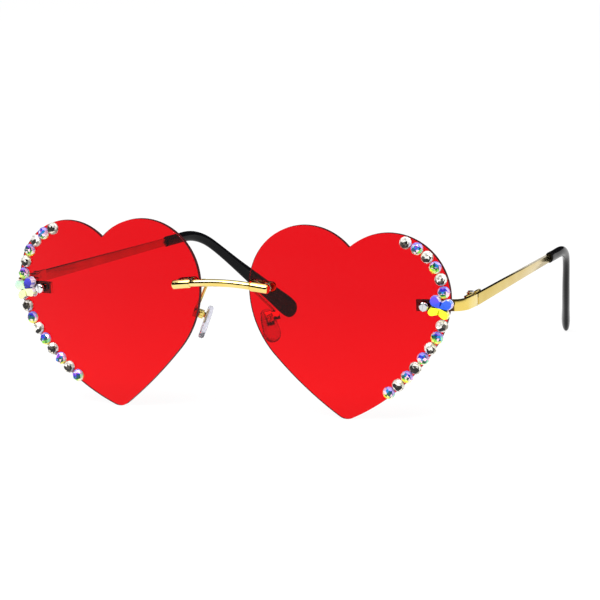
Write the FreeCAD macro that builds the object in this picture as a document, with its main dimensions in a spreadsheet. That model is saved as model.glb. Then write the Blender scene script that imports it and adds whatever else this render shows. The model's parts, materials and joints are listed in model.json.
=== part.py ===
import FreeCAD, Part
import math
import os
from types import SimpleNamespace

import Sketcher
from FreeCAD import Placement, Rotation, Vector

# Rimless sunglasses with heart shaped lenses. The frame is the wearer's: +X to the left, +Y to the back,
# +Z up. The origin is the middle of the nose gap, at half the lens height, level with the front of the
# lenses at their nasal edges. The left half is built, and the right half is its mirror image.

# Driving sizes in millimetres and angles in degrees. A name ending in share is a part of the size it follows.
SIZES = {
    # Lens: u runs from the nasal edge outwards, v upwards from half height
    "lens_width": 65.6,
    "lens_height": 59.4,
    "lens_thickness": 1.4,
    "lens_radius": 260.0,
    "bridge_gap": 17.0,
    "wrap_angle": 3.65,
    "heart_tip_radius": 4.3,
    "heart_tip_u_share": 0.469,
    "cleft_u_share": 0.518,
    "cleft_v_share": 0.394,
    "nasal_lobe_u_share": 0.299,
    "nasal_lobe_v_share": 0.171,
    "nasal_side_radius_share": 0.455,
    "nasal_side_top_share": 0.186,
    "nasal_flank_radius_share": 2.297,
    "temporal_lobe_u_share": 0.708,
    "temporal_lobe_v_share": 0.148,
    "temporal_side_radius_share": 0.437,
    "temporal_side_top_share": 0.107,
    "temporal_flank_radius_share": 1.122,
    # Stones on the outer rim of each lens
    "stone_diameter": 3.9,
    "stone_girdle": 0.5,
    "stone_crown": 1.1,
    "stone_table_share": 0.55,
    "stone_gap": 0.07,
    "stone_glue": 0.05,
    "upper_stone_count": 6,
    "upper_stone_inset": 1.85,
    "upper_stone_nesting": 0.25,
    "lower_stone_count": 8,
    "lower_stone_inset": 1.1,
    "lower_stone_clearance": 0.2,
    # Butterfly stone: wing and notch places across and up from its middle
    "butterfly_angle": -11.5,
    "butterfly_inset": 2.8,
    "butterfly_tilt": 16.0,
    "butterfly_height": 1.9,
    "butterfly_bevel": 0.8,
    "upper_wing_radius": 1.65,
    "upper_wing_across": 2.05,
    "upper_wing_up": 1.75,
    "lower_wing_radius": 1.35,
    "lower_wing_across": 2.05,
    "lower_wing_up": -1.7,
    "top_notch_up": 2.1,
    "waist_across": 2.5,
    "waist_up": -0.1,
    "bottom_notch_up": -2.2,
    # Bridge and its fixing to the lenses
    "sleeve_reach": 7.9,
    "bridge_height_share": 0.17,
    "bridge_tilt": 6.5,
    "bar_diameter": 2.3,
    "sleeve_diameter": 3.0,
    "sleeve_length": 6.2,
    "sleeve_rounding": 0.6,
    "post_diameter": 1.2,
    "post_spacing": 3.4,
    "post_proud": 0.3,
    "clamp_plate_length": 7.2,
    "clamp_plate_width": 3.0,
    "clamp_plate_thickness": 1.0,
    # Bushes, washers and nuts, alike at every lens hole
    "bush_wall": 0.35,
    "flange_diameter": 2.8,
    "washer_thickness": 0.4,
    "nut_across_corners": 2.6,
    "nut_height": 1.1,
    "fit_clearance": 0.05,
    "seat_clearance": 0.1,
    "cut_overrun": 1.0,
    # Nose pads
    "pad_axis_inset": 4.1,
    "pad_axis_depth": 6.3,
    "pad_axis_fall": 10.6,
    "pad_splay": 27.0,
    "pad_flare": 22.0,
    "pad_length": 10.6,
    "pad_top_radius": 2.4,
    "pad_bottom_radius": 3.1,
    "pad_thickness": 1.8,
    "pad_edge_radius": 0.7,
    "pad_drop": 2.0,
    "pad_standoff": 1.6,
    "lug_thickness": 1.2,
    "lug_width": 1.5,
    "lug_foot_length": 4.4,
    "lug_foot_width": 2.8,
    "lug_foot_thickness": 0.7,
    "box_wall": 0.6,
    "box_height": 2.4,
    "box_front": 1.0,
    "box_back_wall": 1.1,
    "pad_screw_diameter": 0.9,
    "pad_screw_head_diameter": 1.6,
    "pad_screw_head_height": 0.45,
    "pad_arm_diameter": 1.0,
    "pad_arm_lead": 3.4,
    "pad_arm_run": 1.0,
    "pad_arm_bend": 0.8,
    # End pieces and their fixing to the lenses
    "lens_screw_clearance": 0.12,
    "temple_rise": 0.58,
    "screw_head_diameter": 3.0,
    "screw_head_height": 0.9,
    "screw_head_rounding": 0.65,
    "slot_width": 0.4,
    "slot_depth": 0.35,
    "end_piece_height": 3.5,
    "strip_thickness": 1.2,
    "end_piece_inset": 2.9,
    "end_piece_bend": 3.6,
    "peg_diameter": 1.0,
    "peg_spacing": 5.0,
    # Hinges
    "hinge_overhang": 3.53,
    "hinge_setback": 12.62,
    "hinge_gap": 0.45,
    "temple_gap": 0.05,
    "knuckle_diameter": 2.4,
    "knuckle_height": 1.35,
    "knuckle_clearance": 0.06,
    "leaf_thickness": 0.8,
    "leaf_length": 4.5,
    "leaf_clearance": 0.25,
    "hinge_screw_diameter": 1.0,
    "hinge_screw_head_diameter": 1.9,
    "hinge_screw_head_height": 0.45,
    # Temples and tips
    "toe_in": 6.3,
    "temple_slope": 0.8,
    "temple_start_height": 3.4,
    "temple_end_height": 2.3,
    "temple_length": 75.0,
    "bend_lead": 19.0,
    "ear_bend_radius": 22.0,
    "ear_drop_angle": 40.0,
    "ear_inward_angle": 18.5,
    "core_diameter": 1.1,
    "core_reach_share": 0.68,
    "tip_start_height": 3.4,
    "tip_neck_height": 3.2,
    "tip_end_height": 6.3,
    "tip_start_thickness": 2.6,
    "tip_neck_thickness": 2.3,
    "tip_end_thickness": 2.7,
}

# Sections of the tip beyond its neck: share of the run to the rounded end, and of the growth to full size.
TIP_GROWTH_SHARES = [(0.30, 0.20), (0.60, 0.60), (0.85, 0.92), (1.0, 1.0)]
# Angles round the tip's end at which its last sections lie.
TIP_END_ANGLES = [30.0, 55.0, 72.0, 84.0]
# Sections of the tip before and in its bend: shares of the straight run and of the turn.
STRAIGHT_SECTION_SHARES = [0.0, 0.35, 0.7]
BEND_SECTION_SHARES = [0.0, 0.25, 0.5, 0.75, 1.0]

X = Vector(1, 0, 0)
Y = Vector(0, 1, 0)
Z = Vector(0, 0, 1)

doc = FreeCAD.newDocument("heart_sunglasses")


def fill_sheet():
    """Write the driving sizes to the sheet and read them back as plain numbers."""
    sheet = doc.addObject("Spreadsheet::Sheet", "Sizes")
    for row, (name, value) in enumerate(SIZES.items(), start=1):
        sheet.set(f"A{row}", name)
        sheet.set(f"B{row}", str(value))
        sheet.setAlias(f"B{row}", name)
    doc.recompute()
    return SimpleNamespace(**{name: float(sheet.get(name)) for name in SIZES})


s = fill_sheet()


# Small helpers


def add(kind, name, placement=None, **expressions):
    """Add a feature, bind its sizes to the sheet and place it."""
    feature = doc.addObject(kind, name)
    for prop, text in expressions.items():
        feature.setExpression(prop, text)
    if placement is not None:
        feature.Placement = placement
    return feature


def rod(name, start, direction, diameter, length):
    """Cylinder from a point along a direction; diameter and length are sheet expressions."""
    turn = Rotation(Z, direction)
    return add("Part::Cylinder", name, Placement(start, turn), Radius=f"({diameter}) / 2", Height=length)


def block(name, frame, corner, length, width, height):
    """Box in a frame, from its low corner; the three sizes are sheet expressions."""
    return add(
        "Part::Box", name, frame * Placement(corner, Rotation()), Length=length, Width=width, Height=height
    )


def fuse(name, shapes):
    """Join overlapping or touching shapes into one solid."""
    feature = doc.addObject("Part::MultiFuse", name)
    feature.Shapes = shapes
    return feature


def cut(name, base, tool):
    """Take a tool away from a base."""
    feature = doc.addObject("Part::Cut", name)
    feature.Base = base
    feature.Tool = tool
    return feature


def group(name, shapes):
    """Keep alike solids together as one sub-part."""
    feature = doc.addObject("Part::Compound", name)
    feature.Links = shapes
    return feature


def round_edges(name, base, radius, edges):
    """Round the named edges of a shape."""
    feature = doc.addObject("Part::Fillet", name)
    feature.Base = base
    feature.Edges = [(edge, radius, radius) for edge in edges]
    return feature


def origin_plane(body, role):
    """One of a body's own origin planes."""
    return next(item for item in body.Origin.OriginFeatures if item.Role == role)


def body_sketch(body, name, role):
    """Sketch on one of a body's origin planes."""
    sketch = body.newObject("Sketcher::SketchObject", name)
    sketch.AttachmentSupport = [(origin_plane(body, role), "")]
    sketch.MapMode = "FlatFace"
    return sketch


def dimension(sketch, kind, where, value, text):
    """Add a dimension to a sketch and bind it to the sheet."""
    index = sketch.addConstraint(Sketcher.Constraint(kind, *where, value))
    sketch.setExpression(f"Constraints[{index}]", text)


def rounded_path(points, radius):
    """Straight runs through points, with each corner rounded to one radius."""
    edges = []
    start = points[0]
    for before, corner, after in zip(points, points[1:], points[2:]):
        inward = (before - corner).normalize()
        outward = (after - corner).normalize()
        half = inward.getAngle(outward) / 2
        reach = radius / math.tan(half)
        first = corner + inward * reach
        last = corner + outward * reach
        bisector = (inward + outward).normalize()
        middle = corner + bisector * (radius / math.sin(half) - radius)
        edges.append(Part.LineSegment(start, first).toShape())
        edges.append(Part.Arc(first, middle, last).toShape())
        start = last
    edges.append(Part.LineSegment(start, points[-1]).toShape())
    return Part.Wire(edges)


def sweep(name, path, diameter):
    """Round wire along a path; the diameter is a sheet expression."""
    spine = doc.addObject("Part::Feature", f"{name}_path")
    spine.Shape = path
    first = path.Edges[0]
    turn = Rotation(Z, first.tangentAt(first.FirstParameter))
    section = add(
        "Part::Circle",
        f"{name}_section",
        Placement(first.valueAt(first.FirstParameter), turn),
        Radius=f"({diameter}) / 2",
    )
    feature = doc.addObject("Part::Sweep", name)
    feature.Sections = [section]
    feature.Spine = (spine, [f"Edge{number + 1}" for number in range(len(path.Edges))])
    feature.Solid = True
    feature.Frenet = False
    return feature


# Lens outline and faces


def heart_half(sign, half):
    """Lobe, side and flank of one half of the heart, each as centre, radius and end directions."""
    width = s.lens_width
    height = s.lens_height
    sizes = vars(s)
    cleft = Vector(s.cleft_u_share * width, s.cleft_v_share * height, 0)
    tip = Vector(s.heart_tip_u_share * width, s.heart_tip_radius - height / 2, 0)
    lobe = Vector(sizes[f"{half}_lobe_u_share"] * width, sizes[f"{half}_lobe_v_share"] * height, 0)
    lobe_radius = (cleft - lobe).Length
    rise = (sizes[f"{half}_side_top_share"] * height - lobe.y) / lobe_radius
    top = Vector(sign * math.sqrt(1 - rise**2), rise, 0)
    side_radius = sizes[f"{half}_side_radius_share"] * width
    side = lobe + top * (lobe_radius - side_radius)
    flank_radius = sizes[f"{half}_flank_radius_share"] * height
    from_side = flank_radius - side_radius
    from_tip = flank_radius - s.heart_tip_radius
    run = tip - side
    along = (run.dot(run) + from_side**2 - from_tip**2) / (2 * run.Length)
    away = math.sqrt(from_side**2 - along**2)
    across = Vector(run.y, -run.x, 0).normalize() * -sign
    flank = side + run.normalize() * along - across * away
    bottom = (side - flank).normalize()
    end = (tip - flank).normalize()
    start = (cleft - lobe).normalize()
    return [
        (lobe, lobe_radius, start, top),
        (side, side_radius, top, bottom),
        (flank, flank_radius, bottom, end),
    ]


def heart_arcs():
    """The seven arcs of the outline, anticlockwise from the cleft."""
    nasal = heart_half(-1, "nasal")
    temporal = heart_half(1, "temporal")
    tip = Vector(s.heart_tip_u_share * s.lens_width, s.heart_tip_radius - s.lens_height / 2, 0)
    back = [(centre, radius, end, start) for centre, radius, start, end in reversed(temporal)]
    return nasal + [(tip, s.heart_tip_radius, nasal[-1][3], back[0][2])] + back


def draw_heart(sketch):
    """Draw the outline as tangent arcs and bind its sizes."""
    arcs = heart_arcs()
    for centre, radius, start, end in arcs:
        first = math.atan2(start.y, start.x)
        last = math.atan2(end.y, end.x)
        if last < first:
            last += 2 * math.pi
        sketch.addGeometry(Part.ArcOfCircle(Part.Circle(centre, Z, radius), first, last), False)
    last_arc = len(sketch.Geometry) - 1
    for index in range(last_arc):
        sketch.addConstraint(Sketcher.Constraint("Tangent", index, 2, index + 1, 1))
    sketch.addConstraint(Sketcher.Constraint("Coincident", last_arc, 2, 0, 1))
    tip_index = len(arcs) // 2
    tip = arcs[tip_index][0]
    cleft = arcs[0][0] + arcs[0][2] * arcs[0][1]
    dimension(sketch, "DistanceX", (-1, 1, 0, 1), cleft.x, "Sizes.lens_width * Sizes.cleft_u_share")
    dimension(sketch, "DistanceY", (-1, 1, 0, 1), cleft.y, "Sizes.lens_height * Sizes.cleft_v_share")
    tip_u = "Sizes.lens_width * Sizes.heart_tip_u_share"
    tip_v = "Sizes.heart_tip_radius - Sizes.lens_height / 2"
    dimension(sketch, "DistanceX", (-1, 1, tip_index, 3), tip.x, tip_u)
    dimension(sketch, "DistanceY", (-1, 1, tip_index, 3), tip.y, tip_v)
    dimension(sketch, "Radius", (tip_index,), s.heart_tip_radius, "Sizes.heart_tip_radius")
    for half, lobe_index, step, top_end in (("nasal", 0, 1, 1), ("temporal", last_arc, -1, 2)):
        lobe = arcs[lobe_index][0]
        side, side_radius, *side_ends = arcs[lobe_index + step]
        flank_radius = arcs[lobe_index + 2 * step][1]
        top = side.y + side_ends[top_end - 1].y * side_radius
        lobe_u = f"Sizes.lens_width * Sizes.{half}_lobe_u_share"
        lobe_v = f"Sizes.lens_height * Sizes.{half}_lobe_v_share"
        dimension(sketch, "DistanceX", (-1, 1, lobe_index, 3), lobe.x, lobe_u)
        dimension(sketch, "DistanceY", (-1, 1, lobe_index, 3), lobe.y, lobe_v)
        side_text = f"Sizes.lens_width * Sizes.{half}_side_radius_share"
        dimension(sketch, "Radius", (lobe_index + step,), side_radius, side_text)
        top_text = f"Sizes.lens_height * Sizes.{half}_side_top_share"
        dimension(sketch, "DistanceY", (-1, 1, lobe_index + step, top_end), top, top_text)
        flank_text = f"Sizes.lens_height * Sizes.{half}_flank_radius_share"
        dimension(sketch, "Radius", (lobe_index + 2 * step,), flank_radius, flank_text)


LENS_FRAME = Placement(X * (s.bridge_gap / 2), Rotation(Z, s.wrap_angle))
LENS_SAG = s.lens_radius - math.sqrt(s.lens_radius**2 - (s.lens_width / 2) ** 2)
LENS_CENTRE = LENS_FRAME.multVec(Vector(s.lens_width / 2, s.lens_radius - LENS_SAG, 0))


def face_y(x, z, radius):
    """Depth of a lens face, of the given radius, straight behind a point of the front view."""
    return LENS_CENTRE.y - math.sqrt(radius**2 - (x - LENS_CENTRE.x) ** 2 - (z - LENS_CENTRE.z) ** 2)


def on_lens(u, v):
    """Point of the front face at lens coordinates, and the direction out of the glass there."""
    reach = math.sqrt(s.lens_radius**2 - (u - s.lens_width / 2) ** 2 - v**2)
    point = LENS_FRAME.multVec(Vector(u, s.lens_radius - LENS_SAG - reach, v))
    return point, (point - LENS_CENTRE).normalize()


def stone_places():
    """Lens coordinates of the upper row, the lower row and the butterfly; the rows start at the butterfly."""
    lobe_arc, side_arc, flank_arc = heart_half(1, "temporal")
    lobe, lobe_radius = lobe_arc[:2]
    side, side_radius, _, bottom = side_arc
    flank, flank_radius = flank_arc[:2]
    angle = math.radians(s.butterfly_angle)
    arm = lobe_radius - s.butterfly_inset
    butterfly = lobe + Vector(arm * math.cos(angle), arm * math.sin(angle), 0)
    pitch = s.stone_diameter + s.stone_gap
    half = s.stone_diameter / 2
    upper_lead = s.upper_wing_up + s.upper_wing_radius + half - s.upper_stone_nesting
    lower_lead = s.lower_wing_radius - s.lower_wing_up + half + s.lower_stone_clearance
    upper = []
    for number in range(int(s.upper_stone_count)):
        arm = lobe_radius - s.upper_stone_inset
        turn = angle + (upper_lead + number * pitch) / arm
        upper.append(lobe + Vector(arm * math.cos(turn), arm * math.sin(turn), 0))
    lower = []
    start = math.atan2(butterfly.y - side.y, butterfly.x - side.x)
    corner = math.atan2(bottom.y, bottom.x)
    for number in range(int(s.lower_stone_count)):
        centre = side
        arm = side_radius - s.lower_stone_inset
        turn = start - (lower_lead + number * pitch) / arm
        if turn < corner:
            past = (corner - turn) * arm
            centre = flank
            arm = flank_radius - s.lower_stone_inset
            turn = corner - past / arm
        lower.append(centre + Vector(arm * math.cos(turn), arm * math.sin(turn), 0))
    return upper, lower, butterfly


# Places that several pieces share

UPPER_STONES, LOWER_STONES, BUTTERFLY = stone_places()

TILT = Rotation(Y, s.bridge_tilt)
SLEEVE_RUN = TILT.multVec(X)
SLEEVE_END = Vector(s.bridge_gap / 2 + s.sleeve_reach, 0, s.bridge_height_share * s.lens_height)
SLEEVE_MIDDLE = SLEEVE_END - SLEEVE_RUN * (s.sleeve_length / 2)
POST_PLACES = [SLEEVE_MIDDLE + SLEEVE_RUN * (side * s.post_spacing / 2) for side in (-1, 1)]
POST_FRONTS = [face_y(place.x, place.z, s.lens_radius) for place in POST_PLACES]
POST_BACKS = [face_y(place.x, place.z, s.lens_radius - s.lens_thickness) for place in POST_PLACES]
SLEEVE_Y = min(POST_FRONTS) - s.seat_clearance - s.washer_thickness - s.sleeve_diameter / 2
CLAMP_Y = max(POST_BACKS) + s.seat_clearance + s.washer_thickness
NUT_Y = CLAMP_Y + s.clamp_plate_thickness
CLAMP_FRAME = Placement(Vector(SLEEVE_MIDDLE.x, CLAMP_Y, SLEEVE_MIDDLE.z), TILT)

SCREW_LEAD = s.lower_wing_across + s.lower_wing_radius + s.screw_head_diameter / 2 + s.lens_screw_clearance
SCREW_U = BUTTERFLY.x - SCREW_LEAD
TEMPLE_Z = BUTTERFLY.y + s.temple_rise
LENS_BEARING = s.wrap_angle + math.degrees(math.asin((SCREW_U - s.lens_width / 2) / s.lens_radius))
STRIP_TURN = Rotation(Z, LENS_BEARING)
STRIP_RUN = STRIP_TURN.multVec(X)
SCREW_AXIS = STRIP_TURN.multVec(Y)
SCREW_PLACE = on_lens(SCREW_U, TEMPLE_Z)[0]
SCREW_HEAD = SCREW_PLACE - SCREW_AXIS * (s.seat_clearance + s.washer_thickness)
SCREW_BACK = SCREW_PLACE + SCREW_AXIS * (s.lens_thickness + s.seat_clearance)
PLATE_FRONT = SCREW_BACK + SCREW_AXIS * s.washer_thickness
PLATE_BACK = PLATE_FRONT + SCREW_AXIS * s.strip_thickness

HOLE_DIAMETER = "Sizes.post_diameter + 2 * Sizes.fit_clearance"
BUSH_DIAMETER = "Sizes.post_diameter + 2 * Sizes.fit_clearance + 2 * Sizes.bush_wall"
LENS_HOLE_DIAMETER = BUSH_DIAMETER + " + 2 * Sizes.fit_clearance"
DRILL_LENGTH = "Sizes.lens_thickness + 4 * Sizes.cut_overrun"
PAD_BORE = "Sizes.pad_screw_diameter + 2 * Sizes.fit_clearance"

LENS_OUTER = LENS_FRAME.multVec(X * s.lens_width)
HINGE_OUTER_X = LENS_OUTER.x + s.hinge_overhang
HINGE_INNER = s.knuckle_diameter / 2 + s.seat_clearance
HINGE = Vector(HINGE_OUTER_X - s.strip_thickness - HINGE_INNER, LENS_OUTER.y + s.hinge_setback, TEMPLE_Z)
LEAF_NEAR = s.knuckle_diameter / 2 + s.leaf_clearance


def pad_frame():
    """Frame on the pad screw's axis: x across the pad to the front, y up along it, z to the nose."""
    splay = math.radians(s.pad_splay)
    flare = math.radians(s.pad_flare)
    level = Vector(-math.cos(splay), math.sin(splay), 0)
    across = Vector(-math.sin(splay), -math.cos(splay), 0)
    to_nose = level * math.cos(flare) - Z * math.sin(flare)
    along = Z * math.cos(flare) + level * math.sin(flare)
    turn = Rotation(across, along, to_nose, "ZXY")
    across_nose = s.bridge_gap / 2 + s.pad_axis_inset
    behind = s.lens_thickness + s.pad_axis_depth
    return Placement(Vector(across_nose, behind, SLEEVE_END.z - s.pad_axis_fall), turn)


PAD_FRAME = pad_frame()
TEMPLE_FRAME = Placement(HINGE, Rotation(Z, s.toe_in))


# Lens


def make_lens():
    """Heart cut from a spherical shell, drilled for the bridge, the lens screw and the peg."""
    blank = doc.addObject("PartDesign::Body", "lens_blank")
    sketch = body_sketch(blank, "heart_outline", "XZ_Plane")
    draw_heart(sketch)
    prism = blank.newObject("PartDesign::Pad", "heart_prism")
    prism.Profile = sketch
    prism.SideType = "Symmetric"
    prism.setExpression("Length", "Sizes.lens_width / 4 + 2 * Sizes.lens_thickness")
    blank.Placement = LENS_FRAME
    middle = Placement(LENS_CENTRE, Rotation())
    outer = add("Part::Sphere", "lens_front_face", middle, Radius="Sizes.lens_radius")
    inner = add("Part::Sphere", "lens_back_face", middle, Radius="Sizes.lens_radius - Sizes.lens_thickness")
    ground = doc.addObject("Part::MultiCommon", "lens_ground")
    ground.Shapes = [blank, cut("lens_shell", outer, inner)]
    drills = []
    for number, (place, front) in enumerate(zip(POST_PLACES, POST_FRONTS)):
        start = Vector(place.x, front - 2 * s.cut_overrun, place.z)
        drills.append(rod(f"bridge_drill_{number}", start, Y, LENS_HOLE_DIAMETER, DRILL_LENGTH))
    start = SCREW_PLACE - SCREW_AXIS * (2 * s.cut_overrun)
    drills.append(rod("screw_drill", start, SCREW_AXIS, LENS_HOLE_DIAMETER, DRILL_LENGTH))
    start = start + STRIP_RUN * s.peg_spacing
    peg_hole = "Sizes.peg_diameter + 2 * Sizes.fit_clearance"
    drills.append(rod("peg_drill", start, SCREW_AXIS, peg_hole, DRILL_LENGTH))
    return cut("lens_left", ground, fuse("lens_drills", drills))


# Stones


def seat_on_lens(place):
    """Placement on the front face: z out of the glass, y up."""
    point, out = on_lens(place.x, place.y)
    up = (Z - out * Z.dot(out)).normalize()
    return Placement(point + out * s.stone_glue, Rotation(up.cross(out), up, out, "ZXY"))


def make_stone(name, place):
    """Flat-backed round stone: a girdle and a conical crown with a flat table."""
    seat = seat_on_lens(place)
    girdle = add(
        "Part::Cylinder",
        f"{name}_girdle",
        seat,
        Radius="Sizes.stone_diameter / 2",
        Height="Sizes.stone_girdle",
    )
    crown = add(
        "Part::Cone",
        f"{name}_crown",
        seat * Placement(Z * s.stone_girdle, Rotation()),
        Radius1="Sizes.stone_diameter / 2",
        Radius2="Sizes.stone_diameter / 2 * Sizes.stone_table_share",
        Height="Sizes.stone_crown",
    )
    return fuse(name, [girdle, crown])


def make_stones():
    """The two rows, with clear and iridescent stones in turn."""
    clear = []
    iridescent = []
    for number, place in enumerate(UPPER_STONES):
        row = iridescent if number % 2 == 0 else clear
        row.append(make_stone(f"upper_stone_{number}", place))
    for number, place in enumerate(LOWER_STONES):
        row = clear if number % 2 == 0 else iridescent
        row.append(make_stone(f"lower_stone_{number}", place))
    return group("clear_stones_left", clear), group("iridescent_stones_left", iridescent)


def tangent_point(place, centre, radius, turn):
    """Where a line from a place touches a circle; turn is 1 to pass it on its right, -1 on its left."""
    reach = centre - place
    angle = math.asin(radius / reach.Length)
    return place + Rotation(Z, math.degrees(turn * angle)).multVec(reach) * math.cos(angle)


def draw_butterfly(sketch):
    """Outline of four round wings, anticlockwise from the top notch, with straight runs into each notch."""
    sizes = vars(s)
    wings = [(-1, "upper"), (-1, "lower"), (1, "lower"), (1, "upper")]
    notches = [
        Vector(0, s.top_notch_up, 0),
        Vector(-s.waist_across, s.waist_up, 0),
        Vector(0, s.bottom_notch_up, 0),
        Vector(s.waist_across, s.waist_up, 0),
    ]
    notch_texts = [
        ("0", "Sizes.top_notch_up"),
        ("-Sizes.waist_across", "Sizes.waist_up"),
        ("0", "Sizes.bottom_notch_up"),
        ("Sizes.waist_across", "Sizes.waist_up"),
    ]
    for index, (side, wing) in enumerate(wings):
        centre = Vector(side * sizes[f"{wing}_wing_across"], sizes[f"{wing}_wing_up"], 0)
        radius = sizes[f"{wing}_wing_radius"]
        before = notches[index]
        after = notches[(index + 1) % len(notches)]
        first = tangent_point(before, centre, radius, -1)
        last = tangent_point(after, centre, radius, 1)
        start = math.atan2(first.y - centre.y, first.x - centre.x)
        stop = math.atan2(last.y - centre.y, last.x - centre.x)
        if stop < start:
            stop += 2 * math.pi
        sketch.addGeometry(Part.LineSegment(before, first), False)
        sketch.addGeometry(Part.ArcOfCircle(Part.Circle(centre, Z, radius), start, stop), False)
        sketch.addGeometry(Part.LineSegment(last, after), False)
    count = len(sketch.Geometry)
    for index in range(count):
        kind = "Coincident" if index % 3 == 2 else "Tangent"
        sketch.addConstraint(Sketcher.Constraint(kind, index, 2, (index + 1) % count, 1))
    for index, (side, wing) in enumerate(wings):
        arc = 3 * index + 1
        across = side * sizes[f"{wing}_wing_across"]
        dimension(sketch, "DistanceX", (-1, 1, arc, 3), across, f"{side} * Sizes.{wing}_wing_across")
        dimension(sketch, "DistanceY", (-1, 1, arc, 3), sizes[f"{wing}_wing_up"], f"Sizes.{wing}_wing_up")
        dimension(sketch, "Radius", (arc,), sizes[f"{wing}_wing_radius"], f"Sizes.{wing}_wing_radius")
        notch = notches[index]
        dimension(sketch, "DistanceX", (-1, 1, 3 * index, 1), notch.x, notch_texts[index][0])
        dimension(sketch, "DistanceY", (-1, 1, 3 * index, 1), notch.y, notch_texts[index][1])


def make_butterfly():
    """Flat-backed stone with four bevelled wings."""
    body = doc.addObject("PartDesign::Body", "butterfly_stone_left")
    sketch = body_sketch(body, "butterfly_outline", "XY_Plane")
    draw_butterfly(sketch)
    stone = body.newObject("PartDesign::Pad", "butterfly_pad")
    stone.Profile = sketch
    stone.setExpression("Length", "Sizes.butterfly_height")
    doc.recompute()
    bevel = body.newObject("PartDesign::Chamfer", "butterfly_facets")
    upper_edges = []
    for index, edge in enumerate(stone.Shape.Edges):
        if edge.BoundBox.ZMin > 0:
            upper_edges.append(f"Edge{index + 1}")
    bevel.Base = (stone, upper_edges)
    bevel.setExpression("Size", "Sizes.butterfly_bevel")
    body.Placement = seat_on_lens(BUTTERFLY) * Placement(Vector(), Rotation(Z, -s.butterfly_tilt))
    return body


# Fixings alike at every lens hole


def make_bush(name, front, axis):
    """Clear sleeve in a lens hole with a flange on the front of the glass."""
    flange = rod(f"{name}_flange", front, axis, "Sizes.flange_diameter", "Sizes.washer_thickness")
    length = "Sizes.washer_thickness + Sizes.lens_thickness"
    sleeve = rod(f"{name}_sleeve", front, axis, BUSH_DIAMETER, length)
    start = front - axis * s.cut_overrun
    bore = rod(f"{name}_bore", start, axis, HOLE_DIAMETER, f"{length} + 2 * Sizes.cut_overrun")
    return cut(name, fuse(f"{name}_solid", [flange, sleeve]), bore)


def make_washer(name, front, axis):
    """Flat ring behind the glass."""
    disc = rod(f"{name}_disc", front, axis, "Sizes.flange_diameter", "Sizes.washer_thickness")
    start = front - axis * s.cut_overrun
    length = "Sizes.washer_thickness + 2 * Sizes.cut_overrun"
    return cut(name, disc, rod(f"{name}_bore", start, axis, HOLE_DIAMETER, length))


def make_nut(name, front, axis):
    """Hexagon nut on the back of a plate."""
    prism = add(
        "Part::Prism",
        f"{name}_prism",
        Placement(front, Rotation(Z, axis)),
        Circumradius="Sizes.nut_across_corners / 2",
        Height="Sizes.nut_height",
    )
    start = front - axis * s.cut_overrun
    length = "Sizes.nut_height + 2 * Sizes.cut_overrun"
    return cut(name, prism, rod(f"{name}_bore", start, axis, HOLE_DIAMETER, length))


def make_slotted_head(name, seat, axis, turn, diameter, height):
    """Head of a screw with a straight slot; the axis points out of the head."""
    head = rod(f"{name}_head", seat, axis, f"Sizes.{diameter}", f"Sizes.{height}")
    reach = getattr(s, diameter) / 2 + s.cut_overrun
    top = seat + axis * (getattr(s, height) - s.slot_depth)
    frame = Placement(top, Rotation(Z, axis) * Rotation(Z, turn))
    corner = Vector(-reach, -s.slot_width / 2, 0)
    length = f"Sizes.{diameter} + 2 * Sizes.cut_overrun"
    depth = "Sizes.slot_depth + Sizes.cut_overrun"
    return head, block(f"{name}_slot", frame, corner, length, "Sizes.slot_width", depth)


# Bridge


def make_bridge():
    """Arched bar between two thicker sleeves, each with two posts through its lens."""
    inner = SLEEVE_END - SLEEVE_RUN * s.sleeve_length
    tilt = math.radians(s.bridge_tilt)
    arch_radius = inner.x / math.sin(tilt)
    start = Vector(math.sin(tilt), 0, math.cos(tilt))
    turn = Rotation(start, (-Y).cross(start), -Y, "ZXY")
    centre = Vector(0, SLEEVE_Y, inner.z - arch_radius * math.cos(tilt))
    bar = add(
        "Part::Torus",
        "bridge_bar",
        Placement(centre, turn),
        Radius2="Sizes.bar_diameter / 2",
        Angle3="2 * Sizes.bridge_tilt",
    )
    bar.Radius1 = arch_radius
    post_length = NUT_Y + s.nut_height + s.post_proud - SLEEVE_Y
    pieces = [bar]
    for side in (-1, 1):
        run = Vector(SLEEVE_RUN.x * side, 0, SLEEVE_RUN.z)
        start = Vector(inner.x * side, SLEEVE_Y, inner.z)
        sleeve = rod(f"sleeve_{len(pieces)}", start, run, "Sizes.sleeve_diameter", "Sizes.sleeve_length")
        doc.recompute()
        pieces.append(round_edges(f"rounded_sleeve_{len(pieces)}", sleeve, s.sleeve_rounding, (2, 3)))
        for place in POST_PLACES:
            start = Vector(place.x * side, SLEEVE_Y, place.z)
            pieces.append(rod(f"post_{len(pieces)}", start, Y, "Sizes.post_diameter", str(post_length)))
    return fuse("bridge", pieces)


def make_bridge_fixings():
    """Bushes, washers and nuts on the posts of one lens."""
    bushes = []
    washers = []
    nuts = []
    for number, (place, front, back) in enumerate(zip(POST_PLACES, POST_FRONTS, POST_BACKS)):
        flange = Vector(place.x, front - s.seat_clearance - s.washer_thickness, place.z)
        bushes.append(make_bush(f"bridge_bush_{number}", flange, Y))
        ring = Vector(place.x, back + s.seat_clearance, place.z)
        washers.append(make_washer(f"bridge_washer_{number}", ring, Y))
        nuts.append(make_nut(f"bridge_nut_{number}", Vector(place.x, NUT_Y, place.z), Y))
    return (
        group("bridge_bushes_left", bushes),
        group("bridge_washers_left", washers),
        group("bridge_nuts_left", nuts),
    )


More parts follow.
